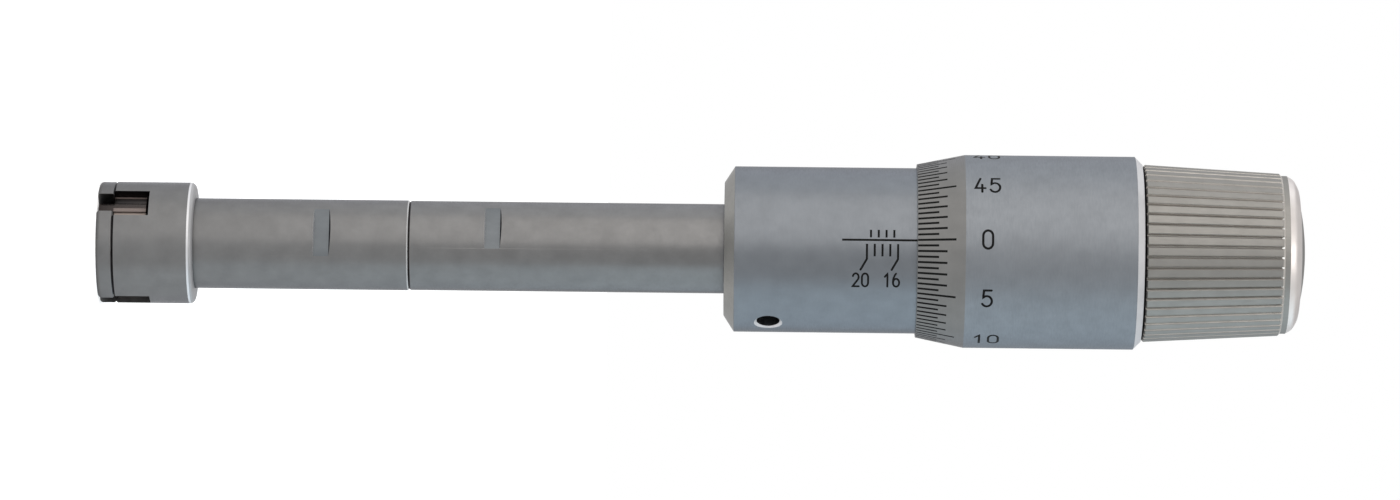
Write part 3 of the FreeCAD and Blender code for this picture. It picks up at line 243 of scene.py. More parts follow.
def machined(data, cutters=(), bevel=0.0, bevel_angle=50.0):
    """A mesh with cutters taken away from it and its sharp edges broken by a bevel in mm."""
    work = bpy.data.objects.new("work", data)
    bpy.context.scene.collection.objects.link(work)
    tools = []
    for cutter in cutters:
        tool = bpy.data.objects.new("tool", cutter)
        bpy.context.scene.collection.objects.link(tool)
        tool.hide_render = True
        tools.append(tool)
        cut = work.modifiers.new("cut", "BOOLEAN")
        cut.operation = "DIFFERENCE"
        cut.solver = "EXACT"
        cut.object = tool
    if bevel:
        edge = work.modifiers.new("edge", "BEVEL")
        edge.width = bevel * mm
        edge.segments = 2
        edge.limit_method = "ANGLE"
        edge.angle_limit = math.radians(bevel_angle)
    bpy.context.view_layer.update()
    evaluated = work.evaluated_get(bpy.context.evaluated_depsgraph_get())
    result = bpy.data.meshes.new_from_object(evaluated)
    for item in [work] + tools:
        bpy.data.objects.remove(item)
    return result


def polished(data, low, high, inner, finish=1):
    """Mark the faces between two heights and outside a radius, in mm, with the place that
    their finish has in the list of the piece."""
    for face in data.polygons:
        spot = face.center / mm
        if low < spot.z < high and math.hypot(spot.x, spot.y) > inner:
            face.material_index = finish
    return data


def fit(name, data, finishes, body, nodes=(), sharp=35.0):
    """Finish a mesh as a piece that rides on a body and stands for CAD nodes."""
    data.name = name
    data.shade_smooth()
    data.set_sharp_from_angle(angle=math.radians(sharp))
    marks = [face.material_index for face in data.polygons]
    data.materials.clear()
    for finish in finishes:
        data.materials.append(finish)
    data.polygons.foreach_set("material_index", marks)
    piece = bpy.data.objects.new(name, data)
    bpy.context.scene.collection.objects.link(piece)
    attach(piece, body)
    if nodes:
        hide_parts(*nodes)
    return piece


seam_chamfer = 0.18
tube_bore = 3.6
head_bore = 4.7
front_radius, front_low, front_high = span("front_tube")
head_radius, head_low, head_high = span("head_housing")
joint_socket = 4.45
joint_floor = 34.15
bore_step = 17.0
spigot_radius = 5.3
front_outline = [
    (head_bore, front_low), (spigot_radius, front_low), (spigot_radius, head_high),
    (front_radius, head_high),
    (front_radius, front_high - seam_chamfer), (front_radius - seam_chamfer, front_high),
    (joint_socket, front_high), (joint_socket, joint_floor), (tube_bore, joint_floor),
    (tube_bore, bore_step), (head_bore, bore_step),
]
flat_width = 1.95
front_flat = (28.0, 4.89, 259.0)
rear_flat = (50.15, 4.99, 249.6)
front_lean = 0.07
rear_lean = 0.27


def flat_cutters(start, half_width, direction):
    """The two milling cuts of a pair of spanner flats; their ends lean outwards."""
    far = 9.0
    cutters = []
    for way in (direction, direction + 180):
        data = box_mesh((half_width, -far, start), (far, far, start + flat_width))
        for vert in data.vertices:
            if vert.co.x > (half_width + far) / 2 * mm:
                lean = rear_lean if vert.co.z > (start + 0.1) * mm else -front_lean
                vert.co.z += (far - half_width) * lean * mm
        data.transform(Matrix.Rotation(math.radians(way), 4, "Z"))
        cutters.append(data)
    return cutters


def finish_flats(data, start, radius):
    """Mark the flat floors as milled, and each flat's end towards the head with painted shade and
    its end towards the knob with a painted highlight.
    """
    for face in data.polygons:
        spot = face.center / mm
        reach = math.hypot(spot.x, spot.y)
        near = start - 0.3 < spot.z < start + flat_width + 0.5
        if near and joint_socket + 0.1 < reach < radius - 0.03:
            face.material_index = milled_mark
            # Painted shade on the end that faces the head, painted highlight on the end that faces
            # the knob.
            if abs(face.normal.z) > 0.03:
                face.material_index = painted_shade_mark if face.normal.z < 0 else painted_highlight_mark
    return data


front_mesh = machined(turned("front", front_outline), flat_cutters(*front_flat))
finish_flats(front_mesh, front_flat[0], front_radius)
# Painted highlight: the front tube's chamfer at the joint is light grey.
polished(front_mesh, front_high - seam_chamfer + 0.01, front_high - 0.02,
         front_radius - seam_chamfer, seam_highlight_mark)
fit("tube_front", front_mesh, tube_finishes, "root", ["front_tube"])

rear_radius, rear_low, rear_end = span("rear_tube")
sleeve_radius, sleeve_low, sleeve_high = span("sleeve")
rear_chamfer = 0.2
rear_chamfer_rise = 0.26
joint_spigot = 4.4
sleeve_spigot = 5.2
rear_outline = [
    (tube_bore, rear_low), (joint_spigot, rear_low), (joint_spigot, front_high),
    (rear_radius - rear_chamfer, front_high), (rear_radius, front_high + rear_chamfer_rise),
    (rear_radius, sleeve_low), (sleeve_spigot, sleeve_low), (sleeve_spigot, rear_end),
    (tube_bore, rear_end),
]
rear_mesh = machined(turned("rear", rear_outline), flat_cutters(*rear_flat))
finish_flats(rear_mesh, rear_flat[0], rear_radius)
# Painted shade: the rear tube's chamfer at the joint is near-black, a dark line in the seam.
polished(rear_mesh, front_high + 0.02, front_high + rear_chamfer_rise - 0.01,
         rear_radius - rear_chamfer, painted_shade_mark)
fit("tube_rear", rear_mesh, tube_finishes, "root", ["rear_tube"])

# Head housing: a thick steel ring on the front of the tube, turned and satin ground, with
# three slots open to the front for the anvils. Its back edge is rounded and polished.

slot_width = 4.2
slot_end = 6.7
first_slot = -5.0
slot_count = 3
sector = 360.0 / slot_count
pocket_low = 6.3
pocket_high = 7.7
pocket_radius = 7.05
head_round = 0.7
faced_depth = 0.5
head_socket = 5.35
head_socket_floor = 9.2
faced_mark = 3
head_outline = [
    (head_bore, head_low), (head_radius - seam_chamfer, head_low),
    (head_radius, head_low + seam_chamfer), (head_radius, head_high, head_round),
    (head_socket, head_high), (head_socket, head_socket_floor), (head_bore, head_socket_floor),
]
head_cutters = []
for k in range(slot_count):
    way = first_slot + sector * k
    head_cutters.append(box_mesh((2.0, -slot_width / 2, 1.0),
                                 (10.0, slot_width / 2, slot_end), way))
    head_cutters.append(box_mesh((2.0, -slot_width / 2, pocket_low),
                                 (pocket_radius, slot_width / 2, pocket_high), way))
head_mesh = machined(turned("head", head_outline), head_cutters)
polished(head_mesh, head_high - head_round + 0.02, head_high - faced_depth, front_radius)
# Painted shade: in the slots, every face but the walls that face clockwise round the axis is
# near-black, and so is the head's front chamfer in the groove at the cap.
for face in head_mesh.polygons:
    spot = face.center / mm
    reach = math.hypot(spot.x, spot.y)
    facing = (spot.x * face.normal.y - spot.y * face.normal.x) / reach
    walled = head_bore + 0.1 < reach < head_radius - 0.15 and facing > -0.5
    if 1.2 < spot.z < pocket_high + 0.1 and walled:
        face.material_index = painted_shade_mark
    if spot.z < head_low + 0.16 and reach > head_radius - seam_chamfer and face.normal.z < -0.5:
        face.material_index = painted_shade_mark
    if spot.z > head_high - faced_depth and reach > front_radius:
        face.material_index = faced_mark
fit("head_shell", head_mesh, [satin_steel, bright_steel_and_highlight, shade_and_dark_steel, pale_steel], "root",
    ["head_housing"])

# Front cap: a steel disc that closes the slots, with a narrow slot over each anvil and
# three countersunk screws between them. Its front edge is rounded.

cap_radius, cap_low, cap_high = span("front_cap")
cap_slot_width = 3.0
cap_slot_floor = 4.65
recess = 3.84
cap_floor = 0.45
cap_round = 0.45
cap_outline = [
    (0, cap_low), (cap_radius, cap_low, cap_round), (cap_radius, cap_high - seam_chamfer),
    (cap_radius - seam_chamfer, cap_high), (recess, cap_high), (recess, cap_floor),
    (0, cap_floor),
]
screw_circle = 5.9


def screw_hole(turn):
    """The countersunk hole of one cap screw, as a cutter."""
    outline = [(0, -1.0), (1.08, -1.0), (1.08, 0.05), (0.63, 0.7), (0.63, 3.0), (0, 3.0)]
    data = turned("hole", outline, edge=0.0, sides=48)
    data.transform(Matrix.Rotation(math.radians(turn), 4, "Z")
                   @ Matrix.Translation((screw_circle * mm, 0, 0)))
    return data


cap_cutters = []
for k in range(slot_count):
    way = first_slot + sector * k
    cap_cutters.append(box_mesh((cap_slot_floor, -cap_slot_width / 2, -1.0),
                                (10.0, cap_slot_width / 2, 3.0), way))
    cap_cutters.append(screw_hole(way + sector / 2))
cap_mesh = machined(turned("cap", cap_outline), cap_cutters)
fit("cap_disc", cap_mesh, [satin_steel], "root", ["front_cap"])

# Anvils: three hardened steel blocks that slide outwards in the slots, ground all over,
# each with a dark carbide strip brazed along its crest.

anvil_steel = metal("ground anvil steel", (0.24, 0.20, 0.185), 0.3, rings=1.0, around=6.0)
carbide = metal("lapped carbide", (0.042, 0.036, 0.034), 0.24, rings=3.0, around=3.0)
# Painted light for the anvils: a lighter brown on the lit flank of each carbide strip, and a
# highlight line along the rim of each block's shoulder.
painted_light_brown = metal("painted light brown", (0.135, 0.11, 0.1), 0.5, rings=3.0, around=3.0, metallic=0.4)
# A lighter, part diffuse copy of the anvil steel, painted light on one side of each block's
# shoulder.
lit_shoulder_paint = metal("painted light shoulder", (0.27, 0.225, 0.2), 0.5, rings=3.0, around=3.0,
                        metallic=0.4)
lit_flank_start = 0.22
rim_highlight_start = 1.72
anvil_width = 4.1
shoulder = 6.45
tip_radius = 6.75
strip_width = 1.4
strip_base = 4.9
strip_low = 0.15
strip_crown = 4.0
anvil_low = 2.15
anvil_rear = 6.3
foot_end = 7.5
heel = 1.25
heel_end = 3.6
foot_radius = 3.6
seat_gap = 0.03
lit_shoulder_mark = 1
rim_highlight_mark = 3


def plate(outline, width, turn):
    """A plate from an outline of (radius, height) in mm, as thick as width, across a slot."""
    mesh = bmesh.new()
    verts = [mesh.verts.new((x, -width / 2, z)) for x, z in outline]
    face = mesh.faces.new(verts)
    grown = bmesh.ops.extrude_face_region(mesh, geom=[face])
    moved = [item for item in grown["geom"] if isinstance(item, bmesh.types.BMVert)]
    bmesh.ops.translate(mesh, verts=moved, vec=(0, width, 0))
    bmesh.ops.recalc_face_normals(mesh, faces=mesh.faces)
    mesh.transform(Matrix.Scale(mm, 4) @ Matrix.Rotation(math.radians(turn), 4, "Z"))
    data = bpy.data.meshes.new("plate")
    mesh.to_mesh(data)
    mesh.free()
    return data


def crowned_bar(turn):
    """The carbide strip: a bar along the axis whose crest is a shallow cylinder."""
    half = math.asin(strip_width / 2 / strip_crown)
    outline = [(strip_base, -strip_width / 2)]
    for step in range(9):
        angle = -half + 2 * half * step / 8
        outline.append((tip_radius - strip_crown * (1 - math.cos(angle)),
                        strip_crown * math.sin(angle)))
    outline.append((strip_base, strip_width / 2))
    mesh = bmesh.new()
    face = mesh.faces.new([mesh.verts.new((x, y, strip_low)) for x, y in outline])
    grown = bmesh.ops.extrude_face_region(mesh, geom=[face])
    moved = [item for item in grown["geom"] if isinstance(item, bmesh.types.BMVert)]
    bmesh.ops.translate(mesh, verts=moved, vec=(0, 0, anvil_rear - strip_low))
    bmesh.ops.recalc_face_normals(mesh, faces=mesh.faces)
    mesh.transform(Matrix.Scale(mm, 4) @ Matrix.Rotation(math.radians(turn), 4, "Z"))
    data = bpy.data.meshes.new("bar")
    mesh.to_mesh(data)
    mesh.free()
    return data


def scored(data, spot, normal):
    """A mesh with a line scored across it by a plane, so that its two sides can differ."""
    mesh = bmesh.new()
    mesh.from_mesh(data)
    bmesh.ops.bisect_plane(mesh, geom=mesh.verts[:] + mesh.edges[:] + mesh.faces[:],
                           plane_co=spot * mm, plane_no=normal)
    mesh.to_mesh(data)
    mesh.free()
    return data


foot_inner = heel + 0.5 * (foot_end - heel_end)
anvil_outline = [
    (heel, anvil_low), (shoulder, anvil_low), (shoulder, anvil_rear), (foot_radius, anvil_rear),
    (foot_radius, foot_end), (foot_inner, foot_end), (heel, heel_end),
]
anvil_bodies = ["anvil_one", "anvil_two", "anvil_three"]
for k, body in enumerate(anvil_bodies):
    way = first_slot + sector * k
    number = str(k + 1)
    seat = box_mesh((strip_base - seat_gap, -strip_width / 2 - seat_gap, 0),
                    (10, strip_width / 2 + seat_gap, 9), way)
    block = machined(plate(anvil_outline, anvil_width, way), [seat], bevel=0.06)
    across = Vector((-math.sin(math.radians(way)), math.cos(math.radians(way)), 0))
    outward = Vector((across.y, -across.x, 0))
    # Painted light and shade on each block's shoulder: a lighter copy on one side of the strip,
    # near-black painted shade on the other, and a painted highlight line along that side's outer
    # rim.
    scored(block, across * -rim_highlight_start, across)
    for face in block.polygons:
        side = face.center.dot(across) / mm
        if face.center.dot(outward) > (shoulder - 0.3) * mm:
            beyond = painted_shade_mark if side > -rim_highlight_start else rim_highlight_mark
            face.material_index = lit_shoulder_mark if side > 0 else beyond
    fit("anvil_block_" + number, block, [anvil_steel, lit_shoulder_paint, shade_and_dark_steel, painted_light_brown],
        body, ["anvil_" + number])
    bar = scored(machined(crowned_bar(way), bevel=0.05), Vector((0, 0, cap_high)), (0, 0, 1))
    # Painted light: on the same side, the carbide strip's flank outside the cap is a lighter brown.
    for face in bar.polygons:
        lapped = face.center.dot(across) > lit_flank_start * mm and face.center.z > cap_high * mm
        face.material_index = int(lapped)
    fit("carbide_strip_" + number, bar, [carbide, painted_light_brown], body,
        ["carbide_tip_" + number])

# Sleeve: the graduated barrel of matt chromed steel, fixed on the tube by a set screw in a
# countersunk hole. Its scale is engraved and filled with black.

satin_chrome = metal("satin chrome", (0.128, 0.137, 0.149), 0.38, rings=6.0, around=1.0)
warm_chrome = metal("turned chrome", (0.132, 0.13, 0.127), 0.36, rings=9.0, around=0.5)
faced_chrome = metal("faced chrome", (0.235, 0.23, 0.218), 0.5, rings=4.0, around=4.0)
ink_gap = 0.006
screw_direction = 339.3
screw_height = 86.9
tube_seat = 5.25
sleeve_bore = 9.25
sleeve_wall_end = 83.5
face_radius = 8.65
front_chamfer = 1.35
rim_mark = 2
sleeve_outline = [
    (tube_seat, sleeve_low), (face_radius, sleeve_low),
    (sleeve_radius - ink_gap, sleeve_low + front_chamfer), (sleeve_radius - ink_gap, sleeve_high),
    (sleeve_bore, sleeve_high), (sleeve_bore, sleeve_wall_end), (tube_seat, sleeve_wall_end),
]


def drill(outline, direction, height):
    """A turned cutter laid along a radius of the barrel; its heights are radii."""
    data = turned("drill", outline, edge=0.0, sides=64)
    data.transform(Matrix.Translation((0, 0, height * mm))
                   @ Matrix.Rotation(math.radians(direction), 4, "Z")
                   @ Matrix.Rotation(math.radians(90), 4, "Y"))
    return data


hole_cutter = drill([(0, 5.8), (1.5, 5.8), (1.5, 10.42), (2.83, 11.75), (0, 11.75)],
                    screw_direction, screw_height)
sleeve_mesh = machined(turned("sleeve", sleeve_outline), [hole_cutter])
polished(sleeve_mesh, sleeve_low + 0.05, sleeve_low + front_chamfer - 0.05, face_radius + 0.01)
drilling = Vector((math.cos(math.radians(screw_direction)),
                   math.sin(math.radians(screw_direction)), 0))
for face in sleeve_mesh.polygons:
    spot = face.center / mm - Vector((0, 0, screw_height))
    depth = spot.dot(drilling)
    sunk = 10.3 < depth < 10.9 and (spot - drilling * depth).length < 1.9
    if sunk and face.normal.dot(drilling) < 0.9:
        face.material_index = rim_mark
fit("scale_sleeve", sleeve_mesh, [satin_chrome, faced_chrome, bright_steel_and_highlight], "root",
    ["sleeve"])


def graduation_tree():
    """Rows of short bars, bent on to a cylinder or a cone round the axis."""
    tree = bpy.data.node_groups.new("graduation", "GeometryNodeTree")
    for name, kind in (("Count", "Int"), ("Pitch Around", "Float"), ("Pitch Along", "Float"),
                       ("Width Around", "Float"), ("Length Along", "Float"),
                       ("Start Around", "Float"), ("Start Along", "Float"), ("Depth", "Float"),
                       ("Radius", "Float"), ("Slope", "Float"), ("Direction", "Float"),
                       ("Ink", "Material")):
        tree.interface.new_socket(name=name, in_out="INPUT", socket_type="NodeSocket" + kind)
    tree.interface.new_socket(name="Geometry", in_out="OUTPUT", socket_type="NodeSocketGeometry")
    given = tree.nodes.new("NodeGroupInput").outputs
    result = tree.nodes.new("NodeGroupOutput").inputs

    def node(kind, **settings):
        made = tree.nodes.new(kind)
        for key, value in settings.items():
            setattr(made, key, value)
        return made

    def sum_up(operation, first, second):
        made = node("ShaderNodeMath", operation=operation)
        wire_up(tree, [(first, made.inputs[0]), (second, made.inputs[1])])
        return made.outputs[0]

    def one_input(operation, first):
        made = node("ShaderNodeMath", operation=operation)
        tree.links.new(first, made.inputs[0])
        return made.outputs[0]

    def vector(x=None, y=None, z=None):
        made = node("ShaderNodeCombineXYZ")
        for socket, source in zip(made.inputs, (x, y, z)):
            if source:
                tree.links.new(source, socket)
        return made.outputs[0]

    row = node("GeometryNodeMeshLine")
    bar = node("GeometryNodeMeshCube")
    bar.inputs["Vertices Y"].default_value = 9
    sunk = node("GeometryNodeTransform")
    half = node("ShaderNodeMath", operation="MULTIPLY")
    half.inputs[1].default_value = -0.5
    spread = node("GeometryNodeInstanceOnPoints")
    real = node("GeometryNodeRealizeInstances")
    bent = node("GeometryNodeSetPosition")
    inked = node("GeometryNodeSetMaterial")
    flat = node("ShaderNodeSeparateXYZ")
    radius = sum_up("ADD", sum_up("ADD", given["Radius"], flat.outputs["X"]),
                    sum_up("MULTIPLY", flat.outputs["Z"], given["Slope"]))
    angle = sum_up("SUBTRACT", given["Direction"],
                   sum_up("DIVIDE", flat.outputs["Y"], given["Radius"]))
    wire_up(tree, [
        (given["Count"], row.inputs["Count"]),
        (vector(None, given["Start Around"], given["Start Along"]), row.inputs["Start Location"]),
        (vector(None, given["Pitch Around"], given["Pitch Along"]), row.inputs["Offset"]),
        (vector(given["Depth"], given["Width Around"], given["Length Along"]), bar.inputs["Size"]),
        (bar.outputs["Mesh"], sunk.inputs["Geometry"]),
        (given["Depth"], half.inputs[0]),
        (vector(half.outputs[0]), sunk.inputs["Translation"]),
        (row.outputs["Mesh"], spread.inputs["Points"]),
        (sunk.outputs["Geometry"], spread.inputs["Instance"]),
        (spread.outputs["Instances"], real.inputs["Geometry"]),
        (real.outputs["Geometry"], bent.inputs["Geometry"]),
        (node("GeometryNodeInputPosition").outputs["Position"], flat.inputs["Vector"]),
        (vector(sum_up("MULTIPLY", radius, one_input("COSINE", angle)),
                sum_up("MULTIPLY", radius, one_input("SINE", angle)), flat.outputs["Z"]),
         bent.inputs["Position"]),
        (bent.outputs["Geometry"], inked.inputs["Geometry"]),
        (given["Ink"], inked.inputs["Material"]),
        (inked.outputs["Geometry"], result["Geometry"]),
    ])
    return tree


def generated(tree, values, base=None):
    """The mesh that a tree makes with the given named inputs, as plain geometry."""
    work = bpy.data.objects.new("work", base or bpy.data.meshes.new("work"))
    bpy.context.scene.collection.objects.link(work)
    modifier = work.modifiers.new("made", "NODES")
    modifier.node_group = tree
    for item in tree.interface.items_tree:
        if item.in_out == "INPUT" and item.name in values:
            modifier[item.identifier] = values[item.name]
    bpy.context.view_layer.update()
    evaluated = work.evaluated_get(bpy.context.evaluated_depsgraph_get())
    result = bpy.data.meshes.new_from_object(evaluated)
    bpy.data.objects.remove(work)
    return result


def joined(parts):
    """Several meshes as one."""
    mesh = bmesh.new()
    for part in parts:
        mesh.from_mesh(part)
    bmesh.ops.recalc_face_normals(mesh, faces=mesh.faces)
    data = bpy.data.meshes.new("joined")
    mesh.to_mesh(data)
    mesh.free()
    return data


ink = bpy.data.materials.new("black engraving paint")
ink.use_nodes = True
ink_shader = ink.node_tree.nodes["Principled BSDF"]
ink_shader.inputs["Specular IOR Level"].default_value = 0.05
ink_grain = ink.node_tree.nodes.new("ShaderNodeTexNoise")
ink_grain.inputs["Scale"].default_value = 6.0 / mm
ink_tone = ink.node_tree.nodes.new("ShaderNodeMapRange")
ink_tone.inputs["To Min"].default_value = 0.002
ink_tone.inputs["To Max"].default_value = 0.006
ink_gloss = ink.node_tree.nodes.new("ShaderNodeMapRange")
ink_gloss.inputs["To Min"].default_value = 0.5
ink_gloss.inputs["To Max"].default_value = 0.7
wire_up(ink.node_tree, [
    (ink.node_tree.nodes.new("ShaderNodeTexCoord").outputs["Object"], ink_grain.inputs["Vector"]),
    (ink_grain.outputs["Fac"], ink_tone.inputs["Value"]),
    (ink_tone.outputs["Result"], ink_shader.inputs["Base Color"]),
    (ink_grain.outputs["Fac"], ink_gloss.inputs["Value"]),
    (ink_gloss.outputs["Result"], ink_shader.inputs["Roughness"]),
])
ink_depth = 0.05
line_width = 0.27
index_way = math.radians(270.0)
graduation = graduation_tree()


def bars(radius, slope=0.0, **values):
    """One row of inked bars; sizes in mm, around counted upwards in the view."""
    sizes = {"Radius": radius * mm, "Slope": slope, "Direction": index_way, "Ink": ink,
             "Depth": ink_depth * mm}
    names = {"count": "Count", "pitch_around": "Pitch Around", "pitch_along": "Pitch Along",
             "around": "Width Around", "along": "Length Along", "start_around": "Start Around",
             "start_along": "Start Along"}
    for key, name in names.items():
        value = values.get(key, 0.0)
        sizes[name] = value if key == "count" else float(value * mm)
    return generated(graduation, sizes)


def arc(x, y, wide, high, start, end, steps=14):
    """Points on part of an ellipse, by its centre, half sizes and angles in degrees."""
    points = []
    for step in range(steps + 1):
        angle = math.radians(start + (end - start) * step / steps)
        points.append((x + wide * math.cos(angle), y + high * math.sin(angle)))
    return points


# Plain engraved figures as the cutter's paths, in a cell one wide and one high
figures = {
    "0": [arc(0.5, 0.7, 0.5, 0.3, 0, 180) + arc(0.5, 0.3, 0.5, 0.3, 180, 360) + [(1.0, 0.7)]],
    "1": [[(0.18, 0.76), (0.6, 1.0), (0.6, 0.0)]],
    "2": [arc(0.5, 0.72, 0.47, 0.28, 165, -32) + [(0.02, 0.0), (1.0, 0.0)]],
    "3": [arc(0.47, 0.75, 0.42, 0.25, 150, -80) + arc(0.47, 0.27, 0.5, 0.27, 85, -160)],
    "4": [[(0.5, 1.0), (0.0, 0.27), (1.0, 0.27)], [(0.68, 0.52), (0.68, 0.0)]],
    "5": [[(0.92, 1.0), (0.16, 1.0), (0.09, 0.56)] + arc(0.46, 0.33, 0.52, 0.33, 128, -150)],
    "6": [arc(0.5, 0.31, 0.5, 0.31, 180, 540), arc(1.06, 0.34, 1.06, 0.8, 180, 124)],
}


def stroke(mesh, path, width):
    """A flat stroke with round ends along a path in mm, as thick as the paint."""
    half = width / 2
    caps = 7
    fine = [Vector(path[0])]
    for point in path[1:]:
        point = Vector(point)
        run = point - fine[-1]
        if run.length < 1e-6:
            continue
        count = max(1, math.ceil(run.length / 0.3))
        fine += [fine[-1] + run * (step + 1) / count for step in range(count)]
    outline = []
    for side in (1, -1):
        walk = fine if side == 1 else fine[::-1]
        for k, point in enumerate(walk):
            back = (point - walk[k - 1]).normalized() if k else None
            ahead = (walk[k + 1] - point).normalized() if k < len(walk) - 1 else None
            along = ((back or ahead) + (ahead or back)).normalized()
            stretch = 1.0
            if back and ahead:
                stretch = 1.0 / max(0.5, math.cos(back.angle(ahead) / 2))
            outline.append(point + Vector((along.y, -along.x)) * half * stretch)
        end = walk[-1]
        ahead = (end - walk[-2]).normalized()
        for step in range(1, caps + 1):
            angle = math.pi * step / (caps + 1)
            side_way = Vector((ahead.y, -ahead.x))
            outline.append(end + (side_way * math.cos(angle) + ahead * math.sin(angle)) * half)
    count = len(fine)
    top = [mesh.verts.new((0, p.y, p.x)) for p in outline]
    low = [mesh.verts.new((-ink_depth, p.y, p.x)) for p in outline]
    total = len(outline)
    first, second = list(range(count)), list(range(count + caps, 2 * count + caps))[::-1]
    for layer in (top, low):
        for k in range(count - 1):
            mesh.faces.new([layer[first[k]], layer[first[k + 1]], layer[second[k + 1]],
                            layer[second[k]]])
        mesh.faces.new([layer[k] for k in range(count - 1, count + caps + 1)])
        mesh.faces.new([layer[k % total] for k in range(2 * count + caps - 1, total + 1)])
    for k in range(total):
        mesh.faces.new([top[k], top[(k + 1) % total], low[(k + 1) % total], low[k]])


def written(text, wide, high, gap, width, radius, height, direction, drop=0.0):
    """Figures bent on to a cylinder, centred at a height and a drop below a direction."""
    mesh = bmesh.new()
    length = len(text) * wide + (len(text) - 1) * gap
    for k, letter in enumerate(text):
        left = k * (wide + gap) - length / 2
        for path in figures[letter]:
            spots = [(left + x * wide, (y - 0.5) * high) for x, y in path]
            stroke(mesh, spots, width)
    return wrapped(mesh, radius, height, direction, drop)


def wrapped(mesh, radius, height, direction, drop):
    """Bend flat strokes on to a cylinder."""
    for vert in mesh.verts:
        angle = direction - (vert.co.y - drop) / radius
        distance = radius + vert.co.x
        vert.co = Vector((distance * math.cos(angle), distance * math.sin(angle),
                          height + vert.co.z)) * mm
    bmesh.ops.recalc_face_normals(mesh, faces=mesh.faces)
    data = bpy.data.meshes.new("written")
    mesh.to_mesh(data)
    mesh.free()
    return data


scale_start = sleeve_low + 18.4
tick_pitch = 1.0
lower_ticks = 5
upper_ticks = 4
index_start = scale_start - 3.2
scale_parts = [
    bars(sleeve_radius, count=1, around=line_width, along=sleeve_high - index_start - 3.0,
         start_along=(index_start + sleeve_high - 3.0) / 2),
    bars(sleeve_radius, count=lower_ticks, around=1.6, along=line_width, start_around=-1.3,
         start_along=scale_start, pitch_along=tick_pitch),
    bars(sleeve_radius, count=upper_ticks, around=1.01, along=line_width, start_around=0.83,
         start_along=scale_start + tick_pitch / 2, pitch_along=tick_pitch),
]
for reading, tick in (("20", 0), ("16", lower_ticks - 1)):
    tick_height = scale_start + tick * tick_pitch
    leader = bmesh.new()
    stroke(leader, [(0, -2.0), (0, -2.45), (-0.8, -3.85)], line_width)
    scale_parts.append(wrapped(leader, sleeve_radius, tick_height, index_way, 0.0))
    scale_parts.append(written(reading, wide=0.8, high=1.78, gap=0.4, width=0.25,
                               radius=sleeve_radius, height=tick_height - 0.8,
                               direction=index_way, drop=5.25))
fit("sleeve_scale", joined(scale_parts), [ink], "root")

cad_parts["sleeve_set_screw"].data.materials.clear()
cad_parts["sleeve_set_screw"].data.materials.append(shade_and_dark_steel)

# Thimble: a turned shell of matt chromed steel over the sleeve, screwed to the spindle.
# Its front bevel has a hundred engraved lines, every tenth of them numbered.

thimble_radius, thimble_low, thimble_high = span("thimble")
thimble_edge = 11.25
bevel_end = 112.2
back_chamfer = 0.95
thimble_bore = 10.95
spindle_hole = 3.03
thimble_floor = 130.5
bevel_mark = 2
thimble_outline = [
    (thimble_bore, thimble_low), (thimble_edge, thimble_low), (thimble_radius - ink_gap, bevel_end),
    (thimble_radius - ink_gap, thimble_high - back_chamfer),
    (thimble_radius - back_chamfer, thimble_high), (spindle_hole, thimble_high),
    (spindle_hole, thimble_floor), (thimble_bore, thimble_floor),
]
thimble_chrome = metal("thimble chrome", (0.152, 0.162, 0.175), 0.5, rings=6.0, around=1.0)
thimble_mesh = turned("thimble", thimble_outline)
polished(thimble_mesh, thimble_high - back_chamfer + 0.03, thimble_high - 0.03, 11.0)
for face in thimble_mesh.polygons:
    if face.center.z < (bevel_end - 0.03) * mm:
        face.material_index = bevel_mark
fit("thimble_shell", thimble_mesh, [thimble_chrome, bright_steel_and_highlight, warm_chrome], "thimble",
    ["thimble"])

line_count = 100
line_slope = (thimble_radius - thimble_edge) / (bevel_end - thimble_low)
line_pitch = 2 * math.pi * thimble_edge / line_count
line_ends = [0.05, 2.8, 3.9, 5.05]
thimble_parts = []
for every, end in ((1, 1), (2, 2), (10, 3)):
    low_end, high_end = line_ends[end - 1], line_ends[end]
    share = math.cos(math.atan(line_slope))
    middle = thimble_low + (low_end + high_end) / 2 * share
    rows = bars(thimble_edge, count=line_count // every, around=line_width,
                along=(high_end - low_end) * share, start_along=middle - thimble_low,
                pitch_around=line_pitch * every, slope=line_slope)
    rows.transform(Matrix.Translation((0, 0, thimble_low * mm)))
    thimble_parts.append(rows)
for number in range(0, 50, 5):
    way = index_way + 2 * math.pi * number / 50
    thimble_parts.append(written(str(number), wide=1.26, high=2.34, gap=0.66, width=0.3,
                                 radius=thimble_radius, height=115.0, direction=way))
fit("thimble_graduation", joined(thimble_parts), [ink], "thimble")

# Ratchet knob: a tapered grip of nickelled brass with fifty straight flutes, a plain band
# and a rounded end, closed at the back by a shallow dome.

satin_nickel = metal("satin nickel", (0.188, 0.183, 0.172), 0.5, rings=0.6, around=8.0)
flute_nickel = metal("cut nickel", (0.42, 0.4, 0.375), 0.55, rings=0.6, around=8.0)
# Near-white painted glint for the sloped ends where the flutes run out.
run_out_glint_paint = metal("painted glint on run-outs", (0.95, 0.94, 0.92), 0.3, rings=2.0, around=2.0)
polished_nickel = metal("polished nickel", (0.56, 0.525, 0.505), 0.42, rings=8.0, around=0.5)
knob_radius, knob_low = span("ratchet_knob")[:2]
grip_end = 153.0
grip_end_radius = 10.53
knob_outline = [
    (7.4, knob_low), (knob_radius - seam_chamfer, knob_low), (knob_radius, knob_low + seam_chamfer),
    (grip_end_radius, grip_end), (10.25, 153.28), (10.25, 153.98), (9.75, 154.85, 1.2),
    (8.6, 155.5, 1.8),
    (6.98, 155.68), (6.98, 154.48), (5.93, 154.48), (5.93, 150.25), (2.55, 150.25),
    (2.55, 146.95), (7.4, 146.95),
]
flute_count = 50
flute_half = 0.19
flute_depth = 0.42
flute_lip = 0.05
flute_mark, run_out_glint_mark = 2, 3
flute_turn = 272.3
